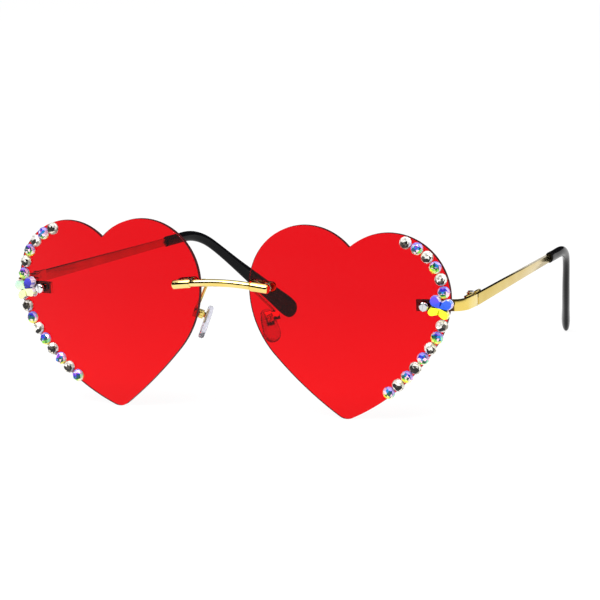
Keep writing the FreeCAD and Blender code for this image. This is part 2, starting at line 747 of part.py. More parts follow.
def make_clamp_plate():
    """Round-ended plate behind the lens that the posts pass through."""
    body = doc.addObject("PartDesign::Body", "clamp_plate_left")
    sketch = body_sketch(body, "clamp_outline", "XZ_Plane")
    radius = s.clamp_plate_width / 2
    reach = s.clamp_plate_length / 2 - radius
    half_turn = math.pi / 2
    ends = [Vector(reach, 0, 0), Vector(-reach, 0, 0)]
    sketch.addGeometry(Part.ArcOfCircle(Part.Circle(ends[0], Z, radius), -half_turn, half_turn), False)
    sketch.addGeometry(Part.LineSegment(Vector(reach, radius, 0), Vector(-reach, radius, 0)), False)
    sketch.addGeometry(Part.ArcOfCircle(Part.Circle(ends[1], Z, radius), half_turn, 3 * half_turn), False)
    sketch.addGeometry(Part.LineSegment(Vector(-reach, -radius, 0), Vector(reach, -radius, 0)), False)
    for index in range(4):
        sketch.addConstraint(Sketcher.Constraint("Tangent", index, 2, (index + 1) % 4, 1))
    reach_text = "Sizes.clamp_plate_length / 2 - Sizes.clamp_plate_width / 2"
    dimension(sketch, "Radius", (0,), radius, "Sizes.clamp_plate_width / 2")
    dimension(sketch, "DistanceX", (-1, 1, 0, 3), reach, reach_text)
    dimension(sketch, "DistanceX", (2, 3, -1, 1), reach, reach_text)
    sketch.addConstraint(Sketcher.Constraint("PointOnObject", 0, 3, -1))
    sketch.addConstraint(Sketcher.Constraint("PointOnObject", 2, 3, -1))
    hole_radius = s.post_diameter / 2 + s.fit_clearance
    for side in (-1, 1):
        place = Vector(side * s.post_spacing / 2, 0, 0)
        index = sketch.addGeometry(Part.Circle(place, Z, hole_radius), False)
        dimension(sketch, "Radius", (index,), hole_radius, "Sizes.post_diameter / 2 + Sizes.fit_clearance")
        dimension(sketch, "DistanceX", (-1, 1, index, 3), place.x, f"{side} * Sizes.post_spacing / 2")
        sketch.addConstraint(Sketcher.Constraint("PointOnObject", index, 3, -1))
    plate = body.newObject("PartDesign::Pad", "clamp_pad")
    plate.Profile = sketch
    plate.Reversed = True
    plate.setExpression("Length", "Sizes.clamp_plate_thickness")
    body.Placement = CLAMP_FRAME
    return body


# Nose pads


def make_pad_arm():
    """Bent wire from the nasal end of the clamp plate down to the top of the pad box."""
    middle = Vector(0, s.clamp_plate_thickness / 2, 0)
    root = CLAMP_FRAME.multVec(middle - X * (s.clamp_plate_length / 2))
    turn = root - SLEEVE_RUN * s.pad_arm_lead
    depth = s.lug_width / 2 + s.leaf_clearance + s.box_back_wall / 2
    foot = PAD_FRAME.multVec(Vector(0, s.box_height / 2, -depth))
    knee = PAD_FRAME.multVec(Vector(0, s.box_height / 2 + s.pad_arm_run, -depth))
    path = rounded_path([root, turn, knee, foot], s.pad_arm_bend)
    return sweep("pad_arm_left", path, "Sizes.pad_arm_diameter")


def make_pad_box():
    """Clevis that holds the pad's lug, with a thick wall for the arm."""
    width = "Sizes.lug_thickness + 2 * Sizes.seat_clearance + 2 * Sizes.box_wall"
    half_width = s.lug_thickness / 2 + s.seat_clearance + s.box_wall
    floor = s.lug_width / 2 + s.leaf_clearance
    depth = "Sizes.lug_width / 2 + Sizes.leaf_clearance + Sizes.box_back_wall + Sizes.box_front"
    corner = Vector(-half_width, -s.box_height / 2, -floor - s.box_back_wall)
    solid = block("pad_box_solid", PAD_FRAME, corner, width, "Sizes.box_height", depth)
    slot_half = s.lug_thickness / 2 + s.seat_clearance
    corner = Vector(-slot_half, -s.box_height / 2 - s.cut_overrun, -floor)
    slot = block(
        "pad_box_slot",
        PAD_FRAME,
        corner,
        "Sizes.lug_thickness + 2 * Sizes.seat_clearance",
        "Sizes.box_height + 2 * Sizes.cut_overrun",
        "Sizes.lug_width / 2 + Sizes.leaf_clearance + Sizes.box_front + Sizes.cut_overrun",
    )
    across = PAD_FRAME.Rotation.multVec(X)
    start = PAD_FRAME.multVec(X * (-half_width - s.cut_overrun))
    bore = rod("pad_box_bore", start, across, PAD_BORE, f"{width} + 2 * Sizes.cut_overrun")
    return cut("pad_box_left", solid, fuse("pad_box_tools", [slot, bore]))


def make_pad_screw():
    """Screw across the pad box, with its slotted head to the front."""
    across = PAD_FRAME.Rotation.multVec(X)
    half_width = s.lug_thickness / 2 + s.seat_clearance + s.box_wall
    start = PAD_FRAME.multVec(X * -half_width)
    length = "Sizes.lug_thickness + 2 * Sizes.seat_clearance + 2 * Sizes.box_wall"
    shank = rod("pad_screw_shank", start, across, "Sizes.pad_screw_diameter", length)
    seat = PAD_FRAME.multVec(X * half_width)
    head, slot = make_slotted_head(
        "pad_screw", seat, across, 0, "pad_screw_head_diameter", "pad_screw_head_height"
    )
    return cut("pad_screw_left", fuse("pad_screw_solid", [shank, head]), slot)


def lug_foot(name, clearance):
    """Foot of the lug inside the pad, grown by a clearance on all sides but the open one."""
    corner = Vector(
        -s.lug_foot_width / 2 - clearance, -s.lug_foot_length / 2 - clearance, s.pad_standoff
    )
    return block(
        name,
        PAD_FRAME,
        corner,
        f"Sizes.lug_foot_width + 2 * {clearance}",
        f"Sizes.lug_foot_length + 2 * {clearance}",
        f"Sizes.lug_foot_thickness + {clearance}",
    )


def make_pad_lug():
    """Metal insert of the pad: an eye on the screw, a neck and a foot in the silicone."""
    across = PAD_FRAME.Rotation.multVec(X)
    half = s.lug_thickness / 2
    eye = rod("lug_eye", PAD_FRAME.multVec(X * -half), across, "Sizes.lug_width", "Sizes.lug_thickness")
    corner = Vector(-half, -s.lug_width / 2, 0)
    thickness = "Sizes.lug_thickness"
    neck = block("lug_neck", PAD_FRAME, corner, thickness, "Sizes.lug_width", "Sizes.pad_standoff")
    solid = fuse("lug_solid", [eye, neck, lug_foot("lug_foot", 0)])
    start = PAD_FRAME.multVec(X * (-half - s.cut_overrun))
    length = "Sizes.lug_thickness + 2 * Sizes.cut_overrun"
    return cut("pad_lug_left", solid, rod("lug_bore", start, across, PAD_BORE, length))


def make_nose_pad():
    """Egg shaped silicone pad with rounded edges and a pocket for the lug's foot."""
    body = doc.addObject("PartDesign::Body", "nose_pad_solid")
    sketch = body_sketch(body, "pad_outline", "XY_Plane")
    top_y = s.pad_length / 2 - s.pad_top_radius
    bottom_y = s.pad_bottom_radius - s.pad_length / 2
    lean = math.asin((s.pad_bottom_radius - s.pad_top_radius) / (top_y - bottom_y))
    out = Vector(math.cos(lean), math.sin(lean), 0)
    mirrored = Vector(-out.x, out.y, 0)
    top = Vector(0, top_y, 0)
    bottom = Vector(0, bottom_y, 0)
    sketch.addGeometry(
        Part.ArcOfCircle(Part.Circle(top, Z, s.pad_top_radius), lean, math.pi - lean), False
    )
    sketch.addGeometry(
        Part.LineSegment(top + mirrored * s.pad_top_radius, bottom + mirrored * s.pad_bottom_radius), False
    )
    lower_arc = Part.ArcOfCircle(
        Part.Circle(bottom, Z, s.pad_bottom_radius), math.pi - lean, 2 * math.pi + lean
    )
    sketch.addGeometry(lower_arc, False)
    sketch.addGeometry(
        Part.LineSegment(bottom + out * s.pad_bottom_radius, top + out * s.pad_top_radius), False
    )
    for index in range(4):
        sketch.addConstraint(Sketcher.Constraint("Tangent", index, 2, (index + 1) % 4, 1))
    dimension(sketch, "Radius", (0,), s.pad_top_radius, "Sizes.pad_top_radius")
    dimension(sketch, "Radius", (2,), s.pad_bottom_radius, "Sizes.pad_bottom_radius")
    dimension(sketch, "DistanceY", (-1, 1, 0, 3), top_y, "Sizes.pad_length / 2 - Sizes.pad_top_radius")
    dimension(sketch, "DistanceY", (-1, 1, 2, 3), bottom_y, "Sizes.pad_bottom_radius - Sizes.pad_length / 2")
    sketch.addConstraint(Sketcher.Constraint("PointOnObject", 0, 3, -2))
    sketch.addConstraint(Sketcher.Constraint("PointOnObject", 2, 3, -2))
    slab = body.newObject("PartDesign::Pad", "pad_slab")
    slab.Profile = sketch
    slab.setExpression("Length", "Sizes.pad_thickness")
    doc.recompute()
    rims = [f"Edge{number + 1}" for number, edge in enumerate(slab.Shape.Edges) if flat_edge(edge)]
    soft = body.newObject("PartDesign::Fillet", "pad_rounding")
    soft.Base = (slab, rims)
    soft.setExpression("Radius", "Sizes.pad_edge_radius")
    body.Tip = soft
    body.Placement = PAD_FRAME * Placement(Vector(0, -s.pad_drop, s.pad_standoff), Rotation())
    return cut("nose_pad_left", body, lug_foot("pad_pocket", s.fit_clearance))


def flat_edge(edge):
    """Whether an edge lies in one level of the pad."""
    box = edge.BoundBox
    return box.ZLength < s.fit_clearance


# End pieces


def make_end_piece():
    """Strip behind the lens that bends back to the hinge, with a peg into the lens."""
    half = s.strip_thickness / 2
    middle = PLATE_FRONT + SCREW_AXIS * half
    centre_x = HINGE_OUTER_X - half - s.end_piece_bend
    bearing = math.radians(LENS_BEARING)
    level = middle.dot(SCREW_AXIS) + s.end_piece_bend
    centre_y = (level + centre_x * math.sin(bearing)) / math.cos(bearing)
    centre = Vector(centre_x, centre_y, TEMPLE_Z - s.end_piece_height / 2)
    touch = centre - SCREW_AXIS * s.end_piece_bend
    length = (touch - middle).dot(STRIP_RUN) + s.end_piece_inset
    frame = Placement(PLATE_FRONT - STRIP_RUN * s.end_piece_inset, STRIP_TURN)
    corner = Vector(0, 0, -s.end_piece_height / 2)
    height = "Sizes.end_piece_height"
    front = block("end_front_leg", frame, corner, str(length), "Sizes.strip_thickness", height)
    turn = Placement(centre, Rotation(Z, LENS_BEARING - 90))
    outside = "Sizes.end_piece_bend + Sizes.strip_thickness / 2"
    outer = add("Part::Cylinder", "end_bend_outer", turn, Radius=outside, Height=height)
    outer.Angle = 90 - LENS_BEARING
    inside = "Sizes.end_piece_bend - Sizes.strip_thickness / 2"
    inner = add("Part::Cylinder", "end_bend_inner", turn, Radius=inside, Height=height)
    corner = Vector(HINGE_OUTER_X - s.strip_thickness, centre.y, centre.z)
    run = HINGE.y - s.hinge_gap - centre.y
    rear = block("end_rear_leg", Placement(), corner, "Sizes.strip_thickness", str(run), height)
    start = PLATE_FRONT + STRIP_RUN * s.peg_spacing + SCREW_AXIS * half
    peg_length = "Sizes.lens_thickness + Sizes.washer_thickness + Sizes.strip_thickness / 2"
    peg = rod("end_peg", start, -SCREW_AXIS, "Sizes.peg_diameter", peg_length)
    solid = fuse("end_solid", [front, cut("end_bend", outer, inner), rear, peg])
    start = PLATE_FRONT - SCREW_AXIS * s.cut_overrun
    bore_length = "Sizes.strip_thickness + 2 * Sizes.cut_overrun"
    return cut("end_piece_left", solid, rod("end_bore", start, SCREW_AXIS, HOLE_DIAMETER, bore_length))


def make_lens_screw():
    """Screw through the lens and the end piece, with a domed slotted head on the front."""
    head, slot = make_slotted_head(
        "lens_screw", SCREW_HEAD, -SCREW_AXIS, 90, "screw_head_diameter", "screw_head_height"
    )
    doc.recompute()
    dome = round_edges("lens_screw_dome", head, s.screw_head_rounding, (3,))
    length = (PLATE_BACK - SCREW_HEAD).Length + s.nut_height + s.post_proud
    shank = rod("lens_screw_shank", SCREW_HEAD, SCREW_AXIS, "Sizes.post_diameter", str(length))
    return cut("lens_screw_left", fuse("lens_screw_solid", [dome, shank]), slot)


# Hinges


def make_leaf(name, frame, heading, tiers):
    """Hinge leaf: a plate on the strip's inner face, with knuckles at some tiers of the barrel."""
    low = min(heading * LEAF_NEAR, heading * (LEAF_NEAR + s.leaf_length))
    height = "3 * Sizes.knuckle_height + 2 * Sizes.knuckle_clearance"
    half_height = 1.5 * s.knuckle_height + s.knuckle_clearance
    inner = HINGE_INNER - s.leaf_thickness
    corner = Vector(inner, low, -half_height)
    thickness = "Sizes.leaf_thickness"
    plate = block(f"{name}_plate", frame, corner, thickness, "Sizes.leaf_length", height)
    pieces = [plate]
    for tier in tiers:
        base = tier * (s.knuckle_height + s.knuckle_clearance) - s.knuckle_height / 2
        corner = Vector(inner, min(0, heading * LEAF_NEAR), base)
        near = "Sizes.knuckle_diameter / 2 + Sizes.leaf_clearance"
        arm = block(f"{name}_arm_{tier}", frame, corner, thickness, near, "Sizes.knuckle_height")
        start = frame.multVec(Z * base)
        knuckle = rod(f"{name}_knuckle_{tier}", start, Z, "Sizes.knuckle_diameter", "Sizes.knuckle_height")
        pieces += [arm, knuckle]
    start = frame.multVec(Z * (-half_height - s.cut_overrun))
    bore_length = f"{height} + 2 * Sizes.cut_overrun"
    bore_diameter = "Sizes.hinge_screw_diameter + 2 * Sizes.fit_clearance"
    bore = rod(f"{name}_bore", start, Z, bore_diameter, bore_length)
    return cut(name, fuse(f"{name}_solid", pieces), bore)


def make_hinge_screw():
    """Screw down through the barrel, with its slotted head on top."""
    half_height = 1.5 * s.knuckle_height + s.knuckle_clearance
    height = "3 * Sizes.knuckle_height + 2 * Sizes.knuckle_clearance"
    shank = rod("hinge_shank", HINGE - Z * half_height, Z, "Sizes.hinge_screw_diameter", height)
    head, slot = make_slotted_head(
        "hinge_screw", HINGE + Z * half_height, Z, 0, "hinge_screw_head_diameter", "hinge_screw_head_height"
    )
    return cut("hinge_screw_left", fuse("hinge_screw_solid", [shank, head]), slot)


# Temples and tips


def ear_points():
    """Start of the tip, corner of the ear bend and end of the tip, in the temple's frame."""
    middle = HINGE_INNER + s.strip_thickness / 2
    fall = math.tan(math.radians(s.temple_slope))
    start = Vector(middle, s.temple_length, -s.temple_length * fall)
    bend = s.temple_length + s.bend_lead
    corner = Vector(middle, bend, -bend * fall)
    drop = math.radians(s.ear_drop_angle)
    inward = math.radians(s.ear_inward_angle)
    run = Vector(-math.sin(inward) * math.cos(drop), math.cos(inward) * math.cos(drop), -math.sin(drop))
    end_radius = s.tip_end_height / 2
    stand = corner.z + TEMPLE_Z + s.lens_height / 2 - end_radius
    return start, corner, corner + run * (end_radius + stand / math.sin(drop))


def temple_wire(points, radius):
    """Path given in the temple's frame, as a wire in place."""
    return rounded_path([TEMPLE_FRAME.multVec(point) for point in points], radius)


def make_temple():
    """Tapered flat bar whose core runs on inside the tip."""
    body = doc.addObject("PartDesign::Body", "temple_bar")
    sketch = body_sketch(body, "temple_side", "YZ_Plane")
    fall = math.tan(math.radians(s.temple_slope))
    near = s.temple_gap
    far = s.temple_length - s.seat_clearance
    near_half = s.temple_start_height / 2
    far_half = s.temple_end_height / 2
    corners = [
        Vector(near, -near_half, 0),
        Vector(far, -far * fall - far_half, 0),
        Vector(far, -far * fall + far_half, 0),
        Vector(near, near_half, 0),
    ]
    for index, corner in enumerate(corners):
        sketch.addGeometry(Part.LineSegment(corner, corners[(index + 1) % 4]), False)
    for index in range(4):
        sketch.addConstraint(Sketcher.Constraint("Coincident", index, 2, (index + 1) % 4, 1))
    near_text = "Sizes.temple_gap"
    far_text = "Sizes.temple_length - Sizes.seat_clearance"
    centre_text = f"-({far_text}) * tan(Sizes.temple_slope * 1 deg)"
    dimension(sketch, "DistanceX", (-1, 1, 0, 1), near, near_text)
    dimension(sketch, "DistanceY", (-1, 1, 0, 1), -near_half, "-Sizes.temple_start_height / 2")
    dimension(sketch, "DistanceX", (-1, 1, 1, 1), far, far_text)
    low_text = f"{centre_text} - Sizes.temple_end_height / 2"
    high_text = f"{centre_text} + Sizes.temple_end_height / 2"
    dimension(sketch, "DistanceY", (-1, 1, 1, 1), corners[1].y, low_text)
    dimension(sketch, "DistanceX", (-1, 1, 2, 1), far, far_text)
    dimension(sketch, "DistanceY", (-1, 1, 2, 1), corners[2].y, high_text)
    dimension(sketch, "DistanceX", (-1, 1, 3, 1), near, near_text)
    dimension(sketch, "DistanceY", (-1, 1, 3, 1), near_half, "Sizes.temple_start_height / 2")
    bar = body.newObject("PartDesign::Pad", "temple_pad")
    bar.Profile = sketch
    bar.setExpression("Length", "Sizes.strip_thickness")
    body.Placement = TEMPLE_FRAME * Placement(X * HINGE_INNER, Rotation())
    start, corner, end = ear_points()
    root = start - (corner - start).normalize() * s.strip_thickness
    stop = corner + (end - corner) * s.core_reach_share
    path = temple_wire([root, corner, stop], s.ear_bend_radius)
    core = sweep("temple_core", path, "Sizes.core_diameter")
    return fuse("temple_left", [body, core])


def tip_sections():
    """Places along the tip with their direction, height and thickness, in the temple's frame."""
    start, corner, end = ear_points()
    first = (corner - start).normalize()
    last = (end - corner).normalize()
    half = first.getAngle(last) / 2
    reach = s.ear_bend_radius * math.tan(half)
    centre = corner + (last - first).normalize() * (s.ear_bend_radius / math.cos(half))
    enter = corner - first * reach
    sections = []
    for share in STRAIGHT_SECTION_SHARES:
        sections.append((start + (enter - start) * share, first, s.tip_start_height, s.tip_start_thickness))
    axis = first.cross(last)
    spoke = enter - centre
    for share in BEND_SECTION_SHARES:
        turn = Rotation(axis, math.degrees(2 * half * share))
        place = centre + turn.multVec(spoke)
        height = s.tip_start_height + (s.tip_neck_height - s.tip_start_height) * share
        thickness = s.tip_start_thickness + (s.tip_neck_thickness - s.tip_start_thickness) * share
        sections.append((place, turn.multVec(first), height, thickness))
    end_radius = s.tip_end_height / 2
    leave = corner + last * reach
    round_end = end - last * end_radius
    for share, growth in TIP_GROWTH_SHARES:
        height = s.tip_neck_height + (s.tip_end_height - s.tip_neck_height) * growth
        thickness = s.tip_neck_thickness + (s.tip_end_thickness - s.tip_neck_thickness) * growth
        sections.append((leave + (round_end - leave) * share, last, height, thickness))
    for angle in TIP_END_ANGLES:
        close = math.cos(math.radians(angle))
        place = round_end + last * (end_radius * math.sin(math.radians(angle)))
        sections.append((place, last, s.tip_end_height * close, s.tip_end_thickness * close))
    return sections


def make_tip():
    """Oval sleeve that bends down behind the ear and widens to a rounded end, bored for the core."""
    ovals = []
    for place, along, height, thickness in tip_sections():
        up = (Z - along * Z.dot(along)).normalize()
        turn = Rotation(up, along.cross(up), along, "ZXY")
        oval = add("Part::Ellipse", f"tip_oval_{len(ovals)}", TEMPLE_FRAME * Placement(place, turn))
        oval.MajorRadius = height / 2
        oval.MinorRadius = thickness / 2
        ovals.append(oval)
    skin = doc.addObject("Part::Loft", "tip_skin")
    skin.Sections = ovals
    skin.Solid = True
    skin.Ruled = False
    start, corner, end = ear_points()
    mouth = start - (corner - start).normalize() * s.cut_overrun
    stop = corner + (end - corner) * s.core_reach_share + (end - corner).normalize() * s.fit_clearance
    path = temple_wire([mouth, corner, stop], s.ear_bend_radius)
    bore = sweep("tip_bore", path, "Sizes.core_diameter + 2 * Sizes.fit_clearance")
    return cut("temple_tip_left", skin, bore)


# The whole pair


def make_left_half():
    """Every sub-part that has a mirror image on the right."""
    screw_bush = make_bush("lens_screw_bush_left", SCREW_HEAD, SCREW_AXIS)
    screw_washer = make_washer("lens_screw_washer_left", SCREW_BACK, SCREW_AXIS)
    screw_nut = make_nut("lens_screw_nut_left", PLATE_BACK, SCREW_AXIS)
    return [
        make_lens(),
        *make_stones(),
        make_butterfly(),
        *make_bridge_fixings(),
        make_clamp_plate(),
        make_pad_arm(),
        make_pad_box(),
        make_pad_screw(),
        make_pad_lug(),
        make_nose_pad(),
        make_end_piece(),
        make_lens_screw(),
        screw_bush,
        screw_washer,
        screw_nut,
        make_leaf("hinge_front_leaf_left", Placement(HINGE, Rotation()), -1, (-1, 1)),
        make_leaf("hinge_temple_leaf_left", TEMPLE_FRAME, 1, (0,)),
        make_hinge_screw(),
        make_temple(),
        make_tip(),
    ]


def mirror(piece):
    """The right-hand counterpart of a left-hand sub-part."""
    feature = doc.addObject("Part::Mirroring", piece.Name.replace("_left", "_right"))
    feature.Source = piece
    feature.Normal = X
    return feature


def write_parts(pieces):
    """Check every object and sub-part, then write one file for each sub-part."""
    doc.recompute()
    failed = [item.Name for item in doc.Objects if {"Invalid", "Error"} & set(item.State)]
    if failed:
        raise RuntimeError(f"failed objects: {failed}")
    for piece in pieces:
        if piece.Shape.isNull() or not piece.Shape.isValid() or not piece.Shape.Solids:
            raise RuntimeError(f"bad shape: {piece.Label}")
    os.makedirs("parts", exist_ok=True)
    for piece in pieces:
        piece.Shape.exportStep(os.path.join("parts", f"{piece.Label}.step"))
        print(piece.Label, len(piece.Shape.Solids), round(piece.Shape.Volume, 2))


left_half = make_left_half()
bridge = make_bridge()
write_parts([bridge] + left_half + [mirror(piece) for piece in left_half])
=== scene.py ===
import json
import logging
import math
import random
from dataclasses import dataclass
from enum import Enum
from typing import Any, Optional

import bmesh
import bpy
import numpy as np
from mathutils import Matrix, Vector

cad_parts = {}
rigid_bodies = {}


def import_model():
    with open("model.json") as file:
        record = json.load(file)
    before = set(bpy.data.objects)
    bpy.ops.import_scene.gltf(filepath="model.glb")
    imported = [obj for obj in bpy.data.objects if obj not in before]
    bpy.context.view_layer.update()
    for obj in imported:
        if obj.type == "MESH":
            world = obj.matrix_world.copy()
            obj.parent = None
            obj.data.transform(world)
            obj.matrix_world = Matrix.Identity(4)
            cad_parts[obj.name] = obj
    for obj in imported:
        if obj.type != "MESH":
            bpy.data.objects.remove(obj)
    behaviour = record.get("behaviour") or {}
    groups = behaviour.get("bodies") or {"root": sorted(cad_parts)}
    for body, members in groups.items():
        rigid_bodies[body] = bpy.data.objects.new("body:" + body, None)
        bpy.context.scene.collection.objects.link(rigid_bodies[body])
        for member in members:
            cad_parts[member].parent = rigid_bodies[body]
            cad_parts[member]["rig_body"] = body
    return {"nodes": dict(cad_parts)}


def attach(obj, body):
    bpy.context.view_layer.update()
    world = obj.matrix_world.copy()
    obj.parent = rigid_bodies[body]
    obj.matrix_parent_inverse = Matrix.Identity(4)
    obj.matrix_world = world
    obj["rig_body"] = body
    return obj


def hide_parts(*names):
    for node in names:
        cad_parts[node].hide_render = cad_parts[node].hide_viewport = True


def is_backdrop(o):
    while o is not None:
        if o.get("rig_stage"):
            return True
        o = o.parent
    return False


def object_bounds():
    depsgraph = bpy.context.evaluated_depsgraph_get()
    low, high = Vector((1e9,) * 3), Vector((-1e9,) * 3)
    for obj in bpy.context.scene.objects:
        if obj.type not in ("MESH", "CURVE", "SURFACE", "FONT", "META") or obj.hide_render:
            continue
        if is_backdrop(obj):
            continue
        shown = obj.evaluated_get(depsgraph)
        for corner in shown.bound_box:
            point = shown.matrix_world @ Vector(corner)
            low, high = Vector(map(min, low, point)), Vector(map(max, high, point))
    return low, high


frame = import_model()

# Looks of a pair of rimless sunglasses with red heart shaped lenses, stones along the outer rims and
# gold fittings. Sizes are in millimetres and become metres through MM.

MM = 0.001
UP = Vector((0.0, 0.0, 1.0))
# Points nearer than JOIN_MM become one, and faces within FLAT_DEG of each other one flat face.
JOIN_MM = 0.0005
FLAT_DEG = 0.4
# Edges sharper than SHARP_DEG are broken, and those sharper than CREASE_DEG stay crisp in the shading.
SHARP_DEG = 35.0
CREASE_DEG = 40.0
logging.basicConfig(level=logging.INFO, format="%(name)s: %(message)s")
log = logging.getLogger("sunglasses")

Colour = tuple[float, float, float, float]


class Side(Enum):
    """Side of the wearer."""

    LEFT = "left"
    RIGHT = "right"

    @property
    def sign(self) -> int:
        """1 on the wearer's left, which is +X, and -1 on the right."""
        return 1 if self is Side.LEFT else -1


class StoneKind(Enum):
    """Coating of a stone in the rim row."""

    CLEAR = "clear"
    IRIDESCENT = "iridescent"


def colour(code: str) -> Colour:
    """Linear colour of an sRGB hex value.

    Args:
        code: six hex digits after a hash sign.

    Returns:
        Red, green, blue and an alpha of 1.
    """
    parts = []
    for start in (1, 3, 5):
        value = int(code[start : start + 2], 16) / 255
        parts.append(value / 12.92 if value <= 0.04045 else ((value + 0.055) / 1.055) ** 2.4)
    return (parts[0], parts[1], parts[2], 1.0)


def per_size(size_mm: float) -> float:
    """Texture scale at which one feature of a pattern is as large as a real size.

    Args:
        size_mm: size of one feature in millimetres.

    Returns:
        Scale for a texture on Object coordinates in metres.
    """
    return 1.0 / (size_mm * MM)


def add_node(
    tree: bpy.types.NodeTree,
    kind: str,
    values: Optional[dict[Any, Any]] = None,
    links: Optional[dict[Any, bpy.types.NodeSocket]] = None,
    **settings: Any,
) -> bpy.types.Node:
    """Add a node with its settings, socket values and incoming links.

    Args:
        tree: tree that the node goes into.
        kind: type name of the node.
        values: socket name or number to its value.
        links: socket name or number to the socket that feeds it.
        settings: properties of the node itself.

    Returns:
        The new node.
    """
    node = tree.nodes.new(kind)
    for name, value in settings.items():
        setattr(node, name, value)
    for socket, value in (values or {}).items():
        node.inputs[socket].default_value = value
    for socket, source in (links or {}).items():
        tree.links.new(source, node.inputs[socket])
    return node


def maths(tree: bpy.types.NodeTree, operation: str, *terms: Any, clamp: bool = False) -> bpy.types.NodeSocket:
    """Add a Math node.

    Args:
        tree: tree that the node goes into.
        operation: what it works out.
        terms: number or socket of each term, in order.
        clamp: whether the result is kept between 0 and 1.

    Returns:
        The socket with the result.
    """
    values = {place: term for place, term in enumerate(terms) if isinstance(term, float)}
    links = {place: term for place, term in enumerate(terms) if place not in values}
    node = add_node(tree, "ShaderNodeMath", values, links, operation=operation, use_clamp=clamp)
    return node.outputs[0]


def set_ramp(ramp: bpy.types.Node, stops: list[tuple[float, str]], interpolation: str = "LINEAR") -> None:
    """Fill a colour ramp.

    Args:
        ramp: the ramp node.
        stops: position and hex colour of each stop, in order.
        interpolation: how the ramp goes from stop to stop.
    """
    band = ramp.color_ramp
    band.interpolation = interpolation
    while len(band.elements) < len(stops):
        band.elements.new(1.0)
    for element, (position, code) in zip(band.elements, stops):
        element.position = position
        element.color = colour(code)


# Finishes


@dataclass(frozen=True)
class Finish:
    """A surface finish; each kind says how its nodes are laid out."""

    name: str

    def dress(self, tree: bpy.types.NodeTree, shader: bpy.types.Node) -> None:
        """Set the shader's sockets and add what feeds them.

        Args:
            tree: node tree of the material.
            shader: its Principled BSDF.
        """

    def material(self) -> bpy.types.Material:
        """Make the material of this finish at its first use.

        Returns:
            The material, the same one each time.
        """
        found = bpy.data.materials.get(self.name)
        if found is not None:
            return found
        material = bpy.data.materials.new(self.name)
        material.use_nodes = True
        tree = material.node_tree
        self.dress(tree, tree.nodes["Principled BSDF"])
        return material


def add_wear(
    tree: bpy.types.NodeTree,
    shader: bpy.types.Node,
    pattern: bpy.types.NodeSocket,
    limits: tuple[float, float],
    relief: float,
    relief_mm: float,
) -> None:
    """Let the roughness and the height of a surface follow one pattern.

    Args:
        tree: node tree of the material.
        shader: its Principled BSDF.
        pattern: socket with the pattern, between 0 and 1.
        limits: least and greatest roughness.
        relief: strength of the bumps.
        relief_mm: their height in millimetres.
    """
    rough = add_node(
        tree, "ShaderNodeMapRange", {"To Min": limits[0], "To Max": limits[1]}, {"Value": pattern}
    )
    bump = add_node(
        tree, "ShaderNodeBump", {"Strength": relief, "Distance": relief_mm * MM}, {"Height": pattern}
    )
    tree.links.new(rough.outputs["Result"], shader.inputs["Roughness"])
    tree.links.new(bump.outputs["Normal"], shader.inputs["Normal"])


@dataclass(frozen=True)
class PlatedMetal(Finish):
    """Metal, plated or bare: its polish and tone drift a little along each piece."""

    light: str
    deep: str
    roughness: float
    spread: float
    grain_mm: tuple[float, float, float]
    relief: float
    relief_mm: float = 0.05
    grain_detail: float = 4.0
    cloud_mm: float = 9.0
    cloud_edges: tuple[float, float] = (0.35, 0.65)

    def dress(self, tree: bpy.types.NodeTree, shader: bpy.types.Node) -> None:
        """Cloudy tone, uneven polish and a shallow grain.

        Args:
            tree: node tree of the material.
            shader: its Principled BSDF.
        """
        shader.inputs["Metallic"].default_value = 1.0
        place = add_node(tree, "ShaderNodeTexCoord").outputs["Object"]
        scale = tuple(per_size(size) for size in self.grain_mm)
        stretch = add_node(tree, "ShaderNodeMapping", {"Scale": scale}, {"Vector": place})
        grain = add_node(
            tree,
            "ShaderNodeTexNoise",
            {"Scale": 1.0, "Detail": self.grain_detail},
            {"Vector": stretch.outputs[0]},
        )
        cloud = add_node(tree, "ShaderNodeTexNoise", {"Scale": per_size(self.cloud_mm)}, {"Vector": place})
        tone = add_node(tree, "ShaderNodeValToRGB", links={"Fac": cloud.outputs["Fac"]})
        set_ramp(tone, list(zip(self.cloud_edges, (self.deep, self.light))))
        tree.links.new(tone.outputs["Color"], shader.inputs["Base Color"])
        limits = (self.roughness - self.spread, self.roughness + self.spread)
        add_wear(tree, shader, grain.outputs["Fac"], limits, self.relief, self.relief_mm)


